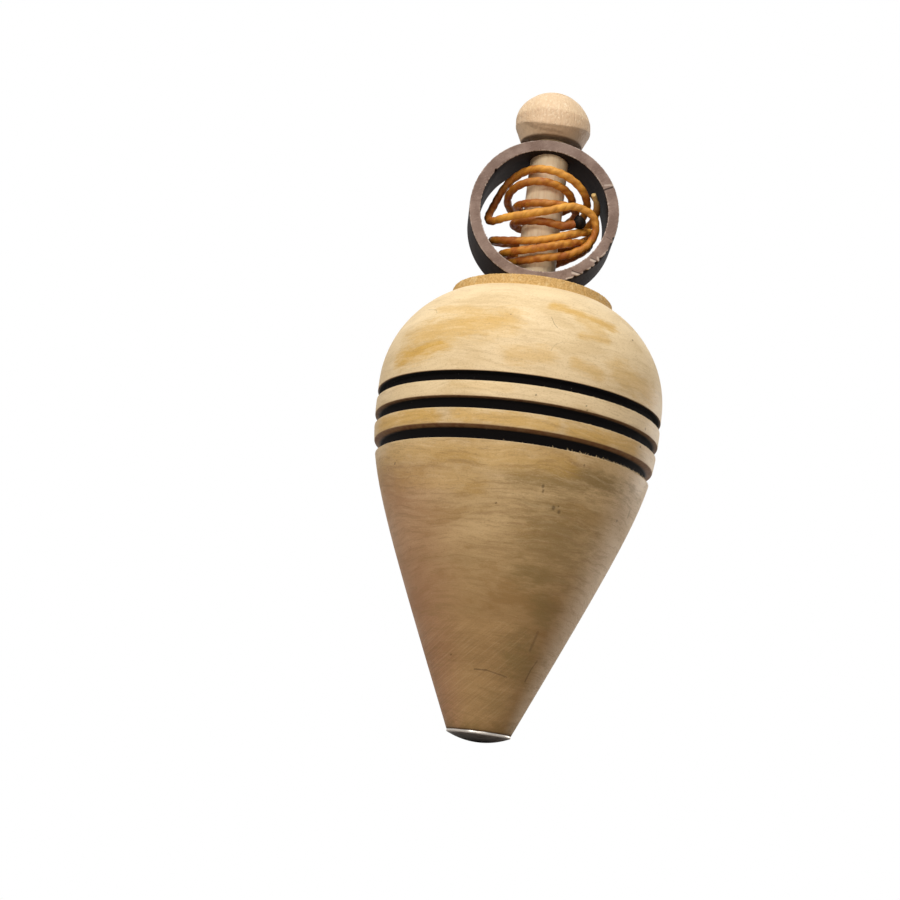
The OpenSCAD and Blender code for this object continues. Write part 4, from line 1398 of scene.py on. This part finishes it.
def write_points():
    """Finds where each thing shows for each image point, but keeps none of it. An edge is the
    outermost finished vertex that shows, and a mark is where its ray met the surface that
    carries it."""
    shown = {name: bpy.data.objects[name] for name in (
        "turned_body", "domed_cap", "turned_knob", "sawn_ring")}
    meshes = {name: finished_mesh(piece) for name, piece in shown.items()}
    trees = {name: BVHTree.FromPolygons(*mesh) for name, mesh in meshes.items()}
    place = camera_axes()[0]

    def outermost(name, axis, sign, keep=None):
        points = meshes[name][0]
        seen = image_place(points)
        order = np.argsort(-sign * seen[:, axis])
        for index in order:
            point = points[index]
            if keep and not keep(point):
                continue
            way = point - place
            hits = [tree.ray_cast(place, way.normalized(), way.length - HIT_SLACK)[0]
                    for tree in trees.values()]
            free = all(hit is None or (hit - point).length < SAME_PLACE for hit in hits)
            if free:
                return seen[index]
        return seen[order[0]]

    def on_collar(point):
        return (point.z > BODY_HIGH.z - COLLAR_BAND
                and Vector((point.x, point.y)).length > COLLAR_OUT)

    edges = {"body_left": ("turned_body", 0, -1), "body_right": ("turned_body", 0, 1),
             "knob_top": ("turned_knob", 1, -1), "tip_bottom": ("domed_cap", 1, 1),
             "ring_left": ("sawn_ring", 0, -1), "ring_right": ("sawn_ring", 0, 1),
             "knob_left": ("turned_knob", 0, -1), "knob_right": ("turned_knob", 0, 1)}
    carried = {"ring_crack": "sawn_ring", "flaked_edge": "sawn_ring"}
    for name, (x, y) in IMAGE_POINTS.items():
        if name in edges:
            piece, axis, sign = edges[name]
            found = outermost(piece, axis, sign)
        elif name.startswith("collar"):
            found = outermost("turned_body", 0, 1 if name.endswith("right") else -1, on_collar)
        else:
            found = image_place([on_piece(shown[carried.get(name, "turned_body")], name)])[0]


# ---------------------------------------------------------------- add-on

class TOP_OT_stage(bpy.types.Operator):
    """Make the camera, the lamps, the floor and the surround"""
    bl_idname = "spinning_top.stage"
    bl_label = "Stage"

    def execute(self, context):
        make_groups()
        make_stage(context.scene.top_stage)
        return {"FINISHED"}


class TOP_OT_string(bpy.types.Operator):
    """Make the waxed string and its melted knot"""
    bl_idname = "spinning_top.string"
    bl_label = "String"

    def execute(self, context):
        make_string(context.scene.top_string)
        return {"FINISHED"}


class TOP_OT_body(bpy.types.Operator):
    """Make the turned body with its burnt grooves and torn fibres"""
    bl_idname = "spinning_top.body"
    bl_label = "Turned body"

    def execute(self, context):
        make_body(context.scene.top_body)
        return {"FINISHED"}


class TOP_OT_cap(bpy.types.Operator):
    """Make the domed steel cap"""
    bl_idname = "spinning_top.cap"
    bl_label = "Steel tip"

    def execute(self, context):
        make_cap(context.scene.top_cap)
        return {"FINISHED"}


class TOP_OT_knob(bpy.types.Operator):
    """Make the turned knob and finish the spindle"""
    bl_idname = "spinning_top.knob"
    bl_label = "Knob and spindle"

    def execute(self, context):
        make_knob(context.scene.top_knob)
        make_spindle(context.scene.top_knob)
        return {"FINISHED"}


class TOP_OT_ring(bpy.types.Operator):
    """Make the sawn ring handle"""
    bl_idname = "spinning_top.ring"
    bl_label = "Ring handle"

    def execute(self, context):
        make_ring(context.scene.top_ring)
        return {"FINISHED"}


class TOP_PT_panel(bpy.types.Panel):
    """Lists the spinning top's pieces with their sizes and colours"""
    bl_idname = "TOP_PT_panel"
    bl_label = "Spinning top"
    bl_space_type = "VIEW_3D"
    bl_region_type = "UI"
    bl_category = "Spinning top"

    def draw(self, context):
        for operator, (group, _) in zip(OPERATORS, GROUPS.items()):
            box = self.layout.box()
            box.operator(operator.bl_idname)
            sizes = getattr(context.scene, group)
            for key in type(sizes).__annotations__:
                box.prop(sizes, key)


OPERATORS = (TOP_OT_stage, TOP_OT_string, TOP_OT_body, TOP_OT_cap, TOP_OT_knob, TOP_OT_ring)
GROUPS = {"top_stage": StageSizes, "top_string": StringSizes, "top_body": BodySizes,
          "top_cap": CapSizes, "top_knob": KnobSizes, "top_ring": RingSizes}


def register():
    for group in GROUPS.values():
        bpy.utils.register_class(group)
    for name, group in GROUPS.items():
        setattr(bpy.types.Scene, name, PointerProperty(type=group))
    for operator in OPERATORS:
        bpy.utils.register_class(operator)
    bpy.utils.register_class(TOP_PT_panel)


def unregister():
    bpy.utils.unregister_class(TOP_PT_panel)
    for operator in reversed(OPERATORS):
        bpy.utils.unregister_class(operator)
    for name in GROUPS:
        delattr(bpy.types.Scene, name)
    for group in reversed(GROUPS.values()):
        bpy.utils.unregister_class(group)


def main():
    register()
    for operator in OPERATORS:
        getattr(bpy.ops.spinning_top, operator.bl_idname.split(".")[1])()
    write_points()


if __name__ == "__main__":
    main()
